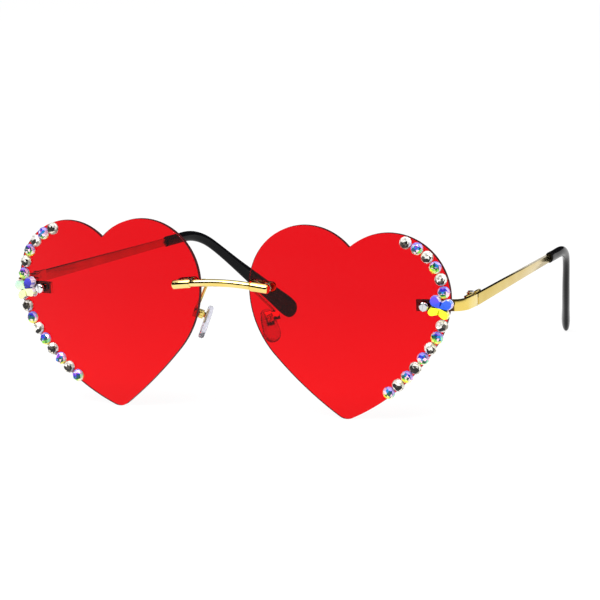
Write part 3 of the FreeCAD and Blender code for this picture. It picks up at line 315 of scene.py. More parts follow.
@dataclass(frozen=True)
class TintedLens(Finish):
    """Dyed clear plastic, cast and polished: red all through, with a painted reflection that makes it a
    little lighter towards the point.
    """

    dye: str
    dye_painted_reflection: str
    ior: float
    roughness: float
    painted_reflection_mm: tuple[float, float]
    coat: str
    density_mm: float = 28.0
    density_detail: float = 1.0
    drift_mm: float = 8.0

    def dress(self, tree: bpy.types.NodeTree, shader: bpy.types.Node) -> None:
        """Clear dye with a painted reflection graded down the lens and a faint drift in density, under a coat
        that mirrors less.

        Args:
            tree: node tree of the material.
            shader: its Principled BSDF.
        """
        shader.inputs["Transmission Weight"].default_value = 1.0
        shader.inputs["IOR"].default_value = self.ior
        shader.inputs["Roughness"].default_value = self.roughness
        shader.inputs["Specular Tint"].default_value = colour(self.coat)
        place = add_node(tree, "ShaderNodeTexCoord").outputs["Object"]
        density = add_node(
            tree,
            "ShaderNodeTexNoise",
            {"Scale": per_size(self.density_mm), "Detail": self.density_detail},
            {"Vector": place},
        )
        drift = maths(tree, "MULTIPLY", density.outputs["Fac"], self.drift_mm * MM)
        level = add_node(tree, "ShaderNodeSeparateXYZ", links={0: place}).outputs["Z"]
        fade = add_node(
            tree,
            "ShaderNodeMapRange",
            {"From Min": self.painted_reflection_mm[0] * MM, "From Max": self.painted_reflection_mm[1] * MM},
            {"Value": maths(tree, "ADD", level, drift)},
        )
        # The lighter colour low on the lens is a painted reflection.
        tone = add_node(tree, "ShaderNodeValToRGB", links={"Fac": fade.outputs["Result"]})
        set_ramp(tone, [(0.0, self.dye_painted_reflection), (1.0, self.dye)])
        tree.links.new(tone.outputs["Color"], shader.inputs["Base Color"])


@dataclass(frozen=True)
class ClearPlastic(Finish):
    """Clear soft or hard plastic, moulded: lets light through with a slight haze."""

    tint: str
    ior: float
    roughness: float
    transmission: float
    haze_mm: float
    uneven: tuple[float, float] = (0.6, 1.4)
    relief: float = 0.08
    relief_mm: float = 0.1

    def dress(self, tree: bpy.types.NodeTree, shader: bpy.types.Node) -> None:
        """Clear body with a soft unevenness of the mould.

        Args:
            tree: node tree of the material.
            shader: its Principled BSDF.
        """
        shader.inputs["Transmission Weight"].default_value = self.transmission
        shader.inputs["IOR"].default_value = self.ior
        shader.inputs["Base Color"].default_value = colour(self.tint)
        place = add_node(tree, "ShaderNodeTexCoord").outputs["Object"]
        haze = add_node(tree, "ShaderNodeTexNoise", {"Scale": per_size(self.haze_mm)}, {"Vector": place})
        limits = (self.roughness * self.uneven[0], self.roughness * self.uneven[1])
        add_wear(tree, shader, haze.outputs["Fac"], limits, self.relief, self.relief_mm)


@dataclass(frozen=True)
class DarkPlastic(Finish):
    """Dark plastic, moulded, or a painted shade on a lens rim: a deep body with a faint ripple that mirrors
    little.
    """

    body: str
    roughness: float
    ripple_mm: float
    mirror: float
    ior: float = 1.49
    uneven: tuple[float, float] = (0.6, 1.5)
    relief: float = 0.06
    relief_mm: float = 0.1

    def dress(self, tree: bpy.types.NodeTree, shader: bpy.types.Node) -> None:
        """Dark body, uneven gloss and a ripple.

        Args:
            tree: node tree of the material.
            shader: its Principled BSDF.
        """
        shader.inputs["IOR"].default_value = self.ior
        shader.inputs["Specular IOR Level"].default_value = self.mirror
        shader.inputs["Base Color"].default_value = colour(self.body)
        place = add_node(tree, "ShaderNodeTexCoord").outputs["Object"]
        ripple = add_node(tree, "ShaderNodeTexNoise", {"Scale": per_size(self.ripple_mm)}, {"Vector": place})
        limits = (self.roughness * self.uneven[0], self.roughness * self.uneven[1])
        add_wear(tree, shader, ripple.outputs["Fac"], limits, self.relief, self.relief_mm)


@dataclass(frozen=True)
class CutStone(Finish):
    """Foil-backed cut glass with painted reflections: each facet gets one painted tone, and the steep rim
    facets paler ones.
    """

    tones: tuple[str, ...]
    rim_tones: tuple[str, ...]
    metallic: float
    rim_lean: float = 0.65
    ior: float = 1.55
    roughness: float = 0.06

    def dress(self, tree: bpy.types.NodeTree, shader: bpy.types.Node) -> None:
        """Painted reflection tones of the facets under a hard clear gloss.

        Args:
            tree: node tree of the material.
            shader: its Principled BSDF.
        """
        shader.inputs["IOR"].default_value = self.ior
        shader.inputs["Roughness"].default_value = self.roughness
        shader.inputs["Metallic"].default_value = self.metallic
        facet = add_node(tree, "ShaderNodeAttribute", attribute_name="facet")
        lean = add_node(tree, "ShaderNodeAttribute", attribute_name="facet_lean")
        bands = []
        for codes in (self.rim_tones, self.tones):
            band = add_node(tree, "ShaderNodeValToRGB", links={"Fac": facet.outputs["Fac"]})
            set_ramp(band, [(number / len(codes), code) for number, code in enumerate(codes)], "CONSTANT")
            bands.append(band.outputs["Color"])
        inner = maths(tree, "GREATER_THAN", lean.outputs["Fac"], self.rim_lean)
        # Sockets 6 and 7 of a colour mix are its two colours, and output 2 is the result.
        tone = add_node(
            tree, "ShaderNodeMix", links={"Factor": inner, 6: bands[0], 7: bands[1]}, data_type="RGBA"
        )
        tree.links.new(tone.outputs[2], shader.inputs["Base Color"])


@dataclass(frozen=True)
class WingStone(Finish):
    """Rainbow-coated cut glass: each facet carries a painted reflection colour of the coating."""

    metallic: float
    ior: float = 1.55
    roughness: float = 0.06

    def dress(self, tree: bpy.types.NodeTree, shader: bpy.types.Node) -> None:
        """Facet colours from the piece's colour attribute under a hard gloss.

        Args:
            tree: node tree of the material.
            shader: its Principled BSDF.
        """
        shader.inputs["IOR"].default_value = self.ior
        shader.inputs["Roughness"].default_value = self.roughness
        shader.inputs["Metallic"].default_value = self.metallic
        facet = add_node(tree, "ShaderNodeAttribute", attribute_name="facet_colour")
        tree.links.new(facet.outputs["Color"], shader.inputs["Base Color"])


EVEN_GRAIN_MM = (1.5, 1.5, 1.5)
LONG_GRAIN_MM = (0.6, 6.0, 0.3)

# Brightest of the golds: near-white streaks along the bridge.
POLISHED_GOLD = PlatedMetal(
    "polished_gold_plate", light="#FCE79C", deep="#F7DB7C",
    roughness=0.09, spread=0.04, grain_mm=EVEN_GRAIN_MM, relief=0.03,
)
# Even, slightly matt gold along the temples, hinges and pad arms.
SATIN_GOLD = PlatedMetal(
    "satin_gold_plate", light="#DEC674", deep="#D6BA62",
    roughness=0.15, spread=0.03, grain_mm=LONG_GRAIN_MM, relief=0.005,
)
# Warm yellow shine of the end pieces and pad screws.
BRIGHT_GOLD = PlatedMetal(
    "bright_gold_plate", light="#F2DA7E", deep="#ECCE68",
    roughness=0.13, spread=0.04, grain_mm=EVEN_GRAIN_MM, relief=0.03,
)
# Painted shade: a deeper gold on the inner side of the temples, which shows dark through the lens.
PAINTED_SHADE_GOLD = PlatedMetal(
    "gold_plate_painted_shade", light="#D6B464", deep="#C69A46",
    roughness=0.2, spread=0.04, grain_mm=LONG_GRAIN_MM, relief=0.01,
)
# Painted dark reflection: brown on the end piece's bearing face, a dark patch behind the lens.
PAINTED_REFLECTION_BRASS = PlatedMetal(
    "brass_painted_dark_reflection", light="#86683A", deep="#6A5028",
    roughness=0.35, spread=0.05, grain_mm=(0.4, 0.4, 0.4), relief=0.05,
)
# Silver glint of the screws.
STEEL = PlatedMetal(
    "polished_steel", light="#F0F0F1", deep="#DADBDD",
    roughness=0.12, spread=0.04, grain_mm=(0.6, 0.6, 0.6), relief=0.05,
)
# Clear bright red that lets the temples and pads show through, lighter low down by a painted reflection; the
# coat dims what it mirrors.
LENS_RED = TintedLens(
    "dyed_polycarbonate", dye="#E4000F", dye_painted_reflection="#F20812",
    ior=1.585, roughness=0.01, painted_reflection_mm=(-18.0, 14.0), coat="#757575",
)
# Painted shade: a fine dark line round each lens and its holes.
LENS_EDGE = DarkPlastic("lens_rim_painted_shade", body="#3C0A0E", roughness=0.5, ripple_mm=0.4, mirror=0.1)
# Milky, faintly violet nose pads.
SILICONE = ClearPlastic(
    "clear_silicone", tint="#E2E2EE", ior=1.41, roughness=0.14, transmission=0.85, haze_mm=2.5
)
# Bushes and washers that hardly show.
NYLON = ClearPlastic("clear_nylon", tint="#EDEDE6", ior=1.53, roughness=0.12, transmission=0.95, haze_mm=1.0)
# Black tips with a soft highlight along them.
TIP_BLACK = DarkPlastic("black_gloss_moulding", body="#0A0A0C", roughness=0.09, ripple_mm=6.0, mirror=0.1)
# Black and white sparkle as painted reflections; tones from the lowest facets of a stone to the highest.
CLEAR_STONE = CutStone(
    "clear_cut_glass",
    tones=(
        "#DCD6C4", "#2A2620", "#0C0B0A", "#14120F", "#15130F",
        "#4A453E", "#E4E1DA", "#F0EEE8", "#A8A49A", "#F4F2EC",
    ),
    rim_tones=("#A09A8C", "#D8D4CA", "#847E72", "#E2DED6", "#C4BFB4", "#ECEAE4"),
    metallic=0.35,
)
# Rainbow sparkle as painted reflections, from yellow and green low on a stone to blue and violet high on it.
IRIDESCENT_STONE = CutStone(
    "iridescent_cut_glass",
    tones=(
        "#F0E412", "#DCE67A", "#7CC83C", "#0E5436", "#F0C8DC",
        "#1C4A58", "#2C86C8", "#3A34C4", "#8A48CC", "#E6E4EA",
    ),
    rim_tones=("#E2DA4A", "#E8E6D0", "#8AD0A8", "#E0A8CC", "#B49CE0", "#8C84DC"),
    metallic=0.35,
)
# Large clean patches of painted reflection colour on the butterflies.
WING_STONE = WingStone("iridescent_wing_glass", metallic=0.08)


# Meshes taken from the frame


def merged_copy(name: str) -> bmesh.types.BMesh:
    """Mesh of a CAD node with its loose triangles joined.

    Args:
        name: the CAD node.

    Returns:
        A new editable mesh.
    """
    copy = bmesh.new()
    copy.from_mesh(frame["nodes"][name].data)
    bmesh.ops.remove_doubles(copy, verts=copy.verts, dist=JOIN_MM * MM)
    return copy


def add_piece(name: str, mesh: bpy.types.Mesh, node: str, finish: Finish) -> bpy.types.Object:
    """Show a mesh in place of a CAD node, on that node's body.

    Args:
        name: name of the new piece.
        mesh: its mesh, in the shared frame.
        node: CAD node that it stands for.
        finish: surface finish.

    Returns:
        The new object.
    """
    piece = bpy.data.objects.new(name, mesh)
    bpy.context.scene.collection.objects.link(piece)
    mesh.materials.clear()
    mesh.materials.append(finish.material())
    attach(piece, frame["nodes"][node]["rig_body"])
    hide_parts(node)
    log.info("%s: %d faces", name, len(mesh.polygons))
    return piece


def eased_piece(node: str, finish: Finish, ease_mm: float, segments: int = 2) -> bpy.types.Object:
    """A CAD node with its sharp edges broken, as tumbling or polishing leaves them.

    Args:
        node: CAD node to take the shape from.
        finish: surface finish.
        ease_mm: width of the broken edge.
        segments: steps across it.

    Returns:
        The new object.
    """
    shape = merged_copy(node)
    bmesh.ops.dissolve_limit(
        shape, angle_limit=math.radians(FLAT_DEG), verts=shape.verts, edges=shape.edges
    )
    limit = math.radians(SHARP_DEG)
    bmesh.ops.bevel(
        shape,
        geom=[edge for edge in shape.edges if edge.is_manifold and edge.calc_face_angle() > limit],
        offset=ease_mm * MM,
        segments=segments,
        profile=0.5,
        affect="EDGES",
        clamp_overlap=True,
    )
    mesh = bpy.data.meshes.new(f"{node}_eased")
    shape.to_mesh(mesh)
    shape.free()
    if "custom_normal" in mesh.attributes:
        mesh.attributes.remove(mesh.attributes["custom_normal"])
    mesh.shade_smooth()
    mesh.set_sharp_from_angle(angle=math.radians(CREASE_DEG))
    return add_piece(f"{node}_eased", mesh, node, finish)


@dataclass(frozen=True)
class Seat:
    """Where a flat-backed stone sits on its lens."""

    middle: Vector
    out: Vector

    def frame(self, tilt: float) -> Matrix:
        """Local frame of a stone, with z out of the glass and y up.

        Args:
            tilt: clockwise turn in radians.

        Returns:
            The frame as a matrix.
        """
        up = (UP - self.out * UP.dot(self.out)).normalized()
        across = up.cross(self.out)
        turn = Matrix((across, up, self.out)).transposed().to_4x4()
        return Matrix.Translation(self.middle) @ turn @ Matrix.Rotation(-tilt, 4, "Z")


def flat_seats(name: str) -> list[Seat]:
    """Seats of the flat-backed solids of a CAD node, from the flat backs themselves.

    Args:
        name: the CAD node.

    Returns:
        One seat for each solid.
    """
    shape = merged_copy(name)
    seats = []
    for first in shape.faces:
        if first.tag:
            continue
        first.tag = True
        island = [first]
        for face in island:
            for other in (other for edge in face.edges for other in edge.link_faces if not other.tag):
                other.tag = True
                island.append(other)
        areas: dict[tuple[float, ...], list[bmesh.types.BMFace]] = {}
        for face in island:
            areas.setdefault(tuple(round(part, 2) for part in face.normal), []).append(face)
        back = max(areas.values(), key=lambda faces: sum(face.calc_area() for face in faces))
        total = sum(face.calc_area() for face in back)
        middle = sum((face.calc_center_median() * face.calc_area() for face in back), Vector()) / total
        seats.append(Seat(middle, -back[0].normal.normalized()))
    shape.free()
    return seats


# Pieces


@dataclass
class LensPair:
    """The two heart shaped lenses."""

    edge_ease_mm: float = 0.12
    # A face is broad above the first share of its normal along Y, and part of the rim below the second.
    broad_share: float = 0.95
    rim_share: float = 0.6

    def round_normals(self, mesh: bpy.types.Mesh) -> None:
        """Give the broad faces the normals of their sphere, so that they mirror without facets.

        Args:
            mesh: mesh of one lens.
        """
        front = [face for face in mesh.polygons if face.normal.y < -self.broad_share]
        points = np.array([mesh.vertices[corner].co for face in front for corner in face.vertices])
        system = np.column_stack((2 * points, np.ones(len(points))))
        middle = Vector(np.linalg.lstsq(system, (points**2).sum(axis=1), rcond=None)[0][:3])
        normals = [corner.vector.copy() for corner in mesh.corner_normals]
        for face in mesh.polygons:
            if abs(face.normal.y) < self.broad_share:
                continue
            for loop in face.loop_indices:
                out = (mesh.vertices[mesh.loops[loop].vertex_index].co - middle).normalized()
                normals[loop] = out if out.dot(face.normal) > 0 else -out
        mesh.normals_split_custom_set(normals)

    def build(self) -> None:
        """Make both lenses, with a fine polished bevel, and give the rim and the holes a painted shade."""
        for side in Side:
            lens = eased_piece(f"lens_{side.value}", LENS_RED, self.edge_ease_mm)
            self.round_normals(lens.data)
            # Rim and hole faces take the painted shade.
            lens.data.materials.append(LENS_EDGE.material())
            for face in lens.data.polygons:
                face.material_index = int(abs(face.normal.y) < self.rim_share)


# Inputs of the stones' node tree, by kind of socket.
STONE_INPUTS = {
    "Geometry": ("Points",),
    "Float": (
        "Diameter", "Girdle", "Height", "Table Share",
        "Star Share", "Star Height", "Tip Share", "Table Height",
    ),
    "Int": ("Sides", "Seed"),
    "Material": ("Material",),
}
# Limits of the random draws: turn of a stone in radians, then tone of a whole stone and of one facet.
STONE_TURN = (-0.5, 0.5)
STONE_TONE = (-0.14, 0.14)
FACET_TONE = (0.36, 0.64)
# How much the painted reflection tone of a facet follows its height on the stone.
RISE_SHARE = 0.5


def draw(
    tree: bpy.types.NodeTree, limits: tuple[float, float], seed: bpy.types.NodeSocket
) -> bpy.types.NodeSocket:
    """Add a Random Value node.

    Args:
        tree: tree that the node goes into.
        limits: least and greatest number.
        seed: socket with the seed.

    Returns:
        The socket with the number.
    """
    # Sockets 2 and 3 are the limits of a float, and output 1 is the float.
    node = add_node(
        tree, "FunctionNodeRandomValue", {2: limits[0], 3: limits[1]}, {"Seed": seed}, data_type="FLOAT"
    )
    return node.outputs[1]


def store(
    tree: bpy.types.NodeTree,
    geometry: bpy.types.NodeSocket,
    name: str,
    value: bpy.types.NodeSocket,
    domain: str = "FACE",
) -> bpy.types.NodeSocket:
    """Add a node that keeps a number on a geometry.

    Args:
        tree: tree that the node goes into.
        geometry: socket with the geometry.
        name: name of the attribute.
        value: socket with the number.
        domain: what carries it, such as each face.

    Returns:
        The socket with the marked geometry.
    """
    node = add_node(
        tree,
        "GeometryNodeStoreNamedAttribute",
        {"Name": name},
        {"Geometry": geometry, "Value": value},
        data_type="FLOAT",
        domain=domain,
    )
    return node.outputs[0]


def recall(tree: bpy.types.NodeTree, name: str, data_type: str = "FLOAT") -> bpy.types.NodeSocket:
    """Add a node that reads an attribute.

    Args:
        tree: tree that the node goes into.
        name: name of the attribute.
        data_type: what it holds.

    Returns:
        The socket with its value.
    """
    node = add_node(tree, "GeometryNodeInputNamedAttribute", {"Name": name}, data_type=data_type)
    return node.outputs[0]


@dataclass
class StoneRow:
    """Stones of one coating along the outer rim of one lens."""

    side: Side
    kind: StoneKind
    seed: int
    diameter_mm: float = 3.9
    girdle_mm: float = 0.45
    height_mm: float = 1.6
    table_share: float = 0.58
    star_share: float = 0.84
    star_height_share: float = 0.6
    tip_share: float = 0.18
    table_drop_mm: float = 0.14
    glue_mm: float = 0.05
    sides: int = 6

    def points(self, seats: list[Seat]) -> bpy.types.Object:
        """Object with one point for each stone and the direction out of the glass.

        Args:
            seats: where the stones sit.

        Returns:
            The object that the node tree reads.
        """
        mesh = bpy.data.meshes.new("stone_points")
        mesh.from_pydata([seat.middle - seat.out * (self.glue_mm * MM) for seat in seats], [], [])
        outward = mesh.attributes.new("out", "FLOAT_VECTOR", "POINT")
        outward.data.foreach_set("vector", [part for seat in seats for part in seat.out])
        holder = bpy.data.objects.new("stone_points", mesh)
        bpy.context.scene.collection.objects.link(holder)
        return holder

    @staticmethod
    def cut(tree: bpy.types.NodeTree, entry: Any) -> bpy.types.NodeSocket:
        """Add the nodes of one stone, the hull of five rings, before it is turned into place.

        Args:
            tree: the node tree.
            entry: its named inputs.

        Returns:
            The socket with the stone, which keeps the height and the lean of each facet.
        """
        radius = maths(tree, "MULTIPLY", entry["Diameter"], 0.5)
        table = maths(tree, "MULTIPLY", radius, entry["Table Share"])
        star = maths(tree, "MULTIPLY", radius, entry["Star Share"])
        tip = maths(tree, "MULTIPLY", radius, entry["Tip Share"])
        girdle_sides = maths(tree, "MULTIPLY", entry["Sides"], 2.0)
        half_step = maths(tree, "DIVIDE", math.pi, entry["Sides"])
        rings = []
        for width, level, count, turn in (
            (radius, None, girdle_sides, None),
            (radius, entry["Girdle"], girdle_sides, None),
            (star, entry["Star Height"], entry["Sides"], None),
            (table, entry["Table Height"], entry["Sides"], half_step),
            (tip, entry["Height"], entry["Sides"], half_step),
        ):
            ring = add_node(tree, "GeometryNodeMeshCircle", links={"Vertices": count, "Radius": width})
            links = {"Geometry": ring.outputs["Mesh"]}
            for name, amount in (("Translation", level), ("Rotation", turn)):
                if amount is not None:
                    links[name] = add_node(tree, "ShaderNodeCombineXYZ", links={"Z": amount}).outputs[0]
            rings.append(add_node(tree, "GeometryNodeTransform", links=links).outputs["Geometry"])
        joined = add_node(tree, "GeometryNodeJoinGeometry")
        for ring in rings:
            tree.links.new(ring, joined.inputs[0])
        hull = add_node(tree, "GeometryNodeConvexHull", links={0: joined.outputs[0]})
        flat = add_node(
            tree, "GeometryNodeSetShadeSmooth", {"Shade Smooth": False}, {"Geometry": hull.outputs[0]}
        )
        position = add_node(tree, "GeometryNodeInputPosition").outputs[0]
        spot = add_node(tree, "ShaderNodeSeparateXYZ", links={0: position}).outputs["Y"]
        normal = add_node(tree, "GeometryNodeInputNormal").outputs[0]
        lean = add_node(tree, "ShaderNodeSeparateXYZ", links={0: normal}).outputs["Z"]
        known = store(tree, flat.outputs[0], "facet_rise", maths(tree, "DIVIDE", spot, radius))
        return store(tree, known, "facet_lean", lean)

    @classmethod
    def tree(cls) -> bpy.types.NodeTree:
        """Make the node tree that sets a cut stone on every point, at its first use.

        Returns:
            The tree, the same one each time.
        """
        found = bpy.data.node_groups.get("cut_stones")
        if found is not None:
            return found
        tree = bpy.data.node_groups.new("cut_stones", "GeometryNodeTree")
        for kind, names in STONE_INPUTS.items():
            for name in names:
                tree.interface.new_socket(name, in_out="INPUT", socket_type=f"NodeSocket{kind}")
        tree.interface.new_socket("Stones", in_out="OUTPUT", socket_type="NodeSocketGeometry")
        entry = add_node(tree, "NodeGroupInput").outputs
        stone = cls.cut(tree, entry)
        outward = recall(tree, "out", "FLOAT_VECTOR")
        stand = add_node(tree, "FunctionNodeAlignRotationToVector", links={"Vector": outward}, axis="Z")
        angle = draw(tree, STONE_TURN, entry["Seed"])
        spin = add_node(tree, "FunctionNodeAxisAngleToRotation", {"Axis": UP}, {"Angle": angle})
        turned = add_node(
            tree,
            "FunctionNodeRotateRotation",
            links={"Rotation": stand.outputs[0], "Rotate By": spin.outputs[0]},
            rotation_space="LOCAL",
        )
        own = draw(tree, STONE_TONE, entry["Seed"])
        marked = store(tree, entry["Points"], "stone_tone", own, "POINT")
        placed = add_node(
            tree,
            "GeometryNodeInstanceOnPoints",
            links={"Points": marked, "Instance": stone, "Rotation": turned.outputs[0]},
        )
        real = add_node(tree, "GeometryNodeRealizeInstances", links={0: placed.outputs[0]})
        # Each facet's painted reflection tone: a random share plus its height on the stone.
        shift = draw(tree, FACET_TONE, entry["Seed"])
        level = maths(tree, "ADD", shift, recall(tree, "stone_tone"))
        tone = maths(tree, "MULTIPLY_ADD", recall(tree, "facet_rise"), RISE_SHARE, level, clamp=True)
        toned = store(tree, real.outputs[0], "facet", tone)
        dressed = add_node(
            tree, "GeometryNodeSetMaterial", links={"Geometry": toned, "Material": entry["Material"]}
        )
        add_node(tree, "NodeGroupOutput", links={"Stones": dressed.outputs[0]})
        return tree

    def build(self) -> None:
        """Set the stones of this row."""
        node = f"{self.kind.value}_stones_{self.side.value}"
        finish = CLEAR_STONE if self.kind is StoneKind.CLEAR else IRIDESCENT_STONE
        holder = self.points(flat_seats(node))
        tree = self.tree()
        base = self.girdle_mm + self.glue_mm
        crown = self.height_mm - self.girdle_mm
        sizes = {
            "Diameter": self.diameter_mm * MM,
            "Girdle": base * MM,
            "Height": (self.height_mm + self.glue_mm) * MM,
            "Table Share": self.table_share,
            "Star Share": self.star_share,
            "Star Height": (base + crown * self.star_height_share) * MM,
            "Tip Share": self.tip_share,
            "Table Height": (self.height_mm + self.glue_mm - self.table_drop_mm) * MM,
            "Sides": self.sides,
            "Seed": self.seed,
            "Material": finish.material(),
        }
        setter = holder.modifiers.new("stones", "NODES")
        setter.node_group = tree
        for item in tree.interface.items_tree:
            if item.in_out == "INPUT" and item.name in sizes:
                setter[item.identifier] = sizes[item.name]
        graph = bpy.context.evaluated_depsgraph_get()
        mesh = bpy.data.meshes.new_from_object(holder.evaluated_get(graph))
        holder.modifiers.remove(setter)
        bpy.data.objects.remove(holder)
        add_piece(f"{node}_cut", mesh, node, finish)


@dataclass(frozen=True)
class WingTones:
    """Painted reflection colours of one wing: both ends of its table, the valley at the waist and the narrow
    rim.
    """

    upper: str
    lower: str
    valley: str
    rim: tuple[str, ...]


@dataclass
class ButterflyStone:
    """The large stone with four wings at the end of each temple fixing."""

    side: Side
    # Anticlockwise from the upper left as seen from the front.
    wing_tones: tuple[WingTones, ...]
    seed: int = 11
    tilt_deg: float = 16.0
    height_mm: float = 1.9
    girdle_mm: float = 0.5
    glue_mm: float = 0.05
    # Place across and up, and radius, of the round edge of a wing.
    upper_mm: tuple[float, float, float] = (2.05, 1.75, 1.65)
    lower_mm: tuple[float, float, float] = (2.05, -1.7, 1.35)
    top_notch_mm: float = 2.1
    waist_mm: tuple[float, float] = (2.5, -0.1)
    bottom_notch_mm: float = -2.2
    table_share: float = 0.82
    middle_share: float = 0.9
    arc_steps: int = 7
    # Pale painted reflection on the girdle walls, and the tone of the back on the glass.
    girdle_tone: str = "#E9E2F2"
    back_tone: str = "#8A8A90"

    def wing_points(self, before: Vector, after: Vector, middle: Vector, radius: float) -> list[Vector]:
        """Points along the round edge of one wing, from notch to notch.

        Args:
            before: notch ahead of the wing, going anticlockwise.
            after: notch behind it.
            middle: centre of the round edge.
            radius: its radius.

        Returns:
            The points, without the notches.
        """
        ends = []
        for notch, turn in ((before, -1), (after, 1)):
            reach = middle - notch
            angle = math.asin(radius / reach.length) * turn
            touch = notch + (Matrix.Rotation(angle, 3, "Z") @ reach) * math.cos(angle)
            ends.append(math.atan2(touch.y - middle.y, touch.x - middle.x))
        start, stop = ends
        if stop < start:
            stop += math.tau
        points = []
        for step in range(self.arc_steps + 1):
            angle = start + (stop - start) * step / self.arc_steps
            points.append(middle + Vector((math.cos(angle), math.sin(angle), 0.0)) * radius)
        return points

    def build(self) -> None:
        """Cut a girdle, sloping facets round each wing, and four tables that fall to the middle."""
        node = f"butterfly_stone_{self.side.value}"
        place = flat_seats(node)[0].frame(math.radians(self.tilt_deg) * self.side.sign)
        wings = []
        for sign, size in ((-1, self.upper_mm), (-1, self.lower_mm), (1, self.lower_mm), (1, self.upper_mm)):
            wings.append((Vector((sign * size[0], size[1], 0.0)), size[2]))
        notches = [
            Vector((0.0, self.top_notch_mm, 0.0)),
            Vector((-self.waist_mm[0], self.waist_mm[1], 0.0)),
            Vector((0.0, self.bottom_notch_mm, 0.0)),
            Vector((self.waist_mm[0], self.waist_mm[1], 0.0)),
        ]
        shape = bmesh.new()
        tint = shape.loops.layers.float_color.new("facet_colour")
        chance = random.Random(self.seed + self.side.sign)
        heights: dict[bmesh.types.BMVert, float] = {}

        def corner(point: Vector, level: float) -> bmesh.types.BMVert:
            """Add a vertex.

            Args:
                point: place on the stone's face in millimetres.
                level: height above the glass in millimetres.

            Returns:
                The vertex.
            """
            vertex = shape.verts.new(place @ (Vector((point.x, point.y, level - self.glue_mm)) * MM))
            heights[vertex] = point.y
            return vertex

        def facet(corners: list[bmesh.types.BMVert], low_code: str, high_code: Optional[str] = None) -> None:
            """Add a face.

            Args:
                corners: its vertices in order.
                low_code: hex colour at its lowest corner.
                high_code: hex colour at its highest corner, where it differs.
            """
            bottom = min(heights[vertex] for vertex in corners)
            spread = max(heights[vertex] for vertex in corners) - bottom
            face = shape.faces.new(corners)
            for loop in face.loops:
                share = (heights[loop.vert] - bottom) / spread if spread else 0.0
                loop[tint] = Vector(colour(low_code)).lerp(Vector(colour(high_code or low_code)), share)

        low_notch = [corner(point, 0.0) for point in notches]
        high_notch = [corner(point, self.girdle_mm) for point in notches]
        centre = corner(Vector(), self.height_mm * self.middle_share)
        back = []
        for index, (middle, radius) in enumerate(wings):
            tones = self.wing_tones[index]
            # The second and fourth notches are the waist, where the valley is dark, a painted shade.
            valley_tones = (tones.lower, tones.valley)
            following = (index + 1) % len(wings)
            rim = self.wing_points(notches[index], notches[following], middle, radius)
            low = [corner(point, 0.0) for point in rim]
            low = [low_notch[index], *low, low_notch[following]]
            high = [corner(point, self.girdle_mm) for point in rim]
            high = [high_notch[index], *high, high_notch[following]]
            back += low[:-1]
            outline = [notches[index], *rim, notches[following]]
            shrunk = [middle + (point - middle) * self.table_share for point in outline]
            inner = [corner(point, self.height_mm) for point in shrunk]
            for step in range(len(high) - 1):
                facet([low[step], low[step + 1], high[step + 1], high[step]], self.girdle_tone)
                facet([high[step], high[step + 1], inner[step + 1], inner[step]], chance.choice(tones.rim))
            # The table is graded from its lower to its upper colour, a painted reflection.
            facet(inner, tones.lower, tones.upper)
            facet([high[0], inner[0], centre], valley_tones[index % 2])
            facet([inner[-1], high[-1], centre], valley_tones[following % 2])
            facet([inner[0], inner[-1], centre], tones.lower)
        facet(list(reversed(back)), self.back_tone)
        bmesh.ops.recalc_face_normals(shape, faces=shape.faces)
        mesh = bpy.data.meshes.new(f"{node}_cut")
        shape.to_mesh(mesh)
        shape.free()
        add_piece(f"{node}_cut", mesh, node, WING_STONE)


@dataclass
class BridgeSet:
    """Bridge with the fixings that hold it to the lenses."""

    bar_ease_mm: float = 0.12
    plate_ease_mm: float = 0.15
    small_ease_mm: float = 0.08

    def build(self) -> None:
        """Make the bridge, clamp plates, bushes, washers and nuts."""
        eased_piece("bridge", POLISHED_GOLD, self.bar_ease_mm)
        for side in Side:
            eased_piece(f"clamp_plate_{side.value}", SATIN_GOLD, self.plate_ease_mm)
            eased_piece(f"bridge_nuts_{side.value}", SATIN_GOLD, self.small_ease_mm)
            eased_piece(f"bridge_bushes_{side.value}", NYLON, self.small_ease_mm)
            eased_piece(f"bridge_washers_{side.value}", NYLON, self.small_ease_mm)


@dataclass
class NosePad:
    """One nose pad with its arm, box, screw and insert."""

    side: Side
    ease_mm: float = 0.1
    screw_ease_mm: float = 0.05

    def build(self) -> None:
        """Make the pad and its metal pieces."""
        eased_piece(f"nose_pad_{self.side.value}", SILICONE, self.ease_mm)
        for name in ("pad_arm", "pad_box", "pad_lug"):
            eased_piece(f"{name}_{self.side.value}", SATIN_GOLD, self.ease_mm)
        eased_piece(f"pad_screw_{self.side.value}", BRIGHT_GOLD, self.screw_ease_mm)


@dataclass
class EndPiece:
    """End piece, its lens screw and the hinge."""

    side: Side
    strip_ease_mm: float = 0.22
    small_ease_mm: float = 0.08
    # Least dot product of normals at which a face belongs to the flat face that bears on the lens, which
    # takes the painted dark reflection.
    flat_share: float = 0.998

    def build(self) -> None:
        """Make the bent strip with a painted dark reflection where it bears on the lens, the lens screw and
        the hinge.
        """
        mark = self.side.value
        strip = eased_piece(f"end_piece_{mark}", BRIGHT_GOLD, self.strip_ease_mm).data
        # The face that bears on the lens gets a painted dark reflection.
        strip.materials.append(PAINTED_REFLECTION_BRASS.material())
        bearing = max((face for face in strip.polygons if face.normal.y < 0), key=lambda face: face.area)
        for face in strip.polygons:
            face.material_index = int(face.normal.dot(bearing.normal) > self.flat_share)
        eased_piece(f"lens_screw_{mark}", STEEL, self.small_ease_mm)
        eased_piece(f"lens_screw_nut_{mark}", SATIN_GOLD, self.small_ease_mm)
        for name in ("lens_screw_bush", "lens_screw_washer"):
            eased_piece(f"{name}_{mark}", NYLON, self.small_ease_mm)
        for name in ("hinge_front_leaf", "hinge_temple_leaf"):
            eased_piece(f"{name}_{mark}", SATIN_GOLD, self.small_ease_mm)
        eased_piece(f"hinge_screw_{mark}", STEEL, self.small_ease_mm)


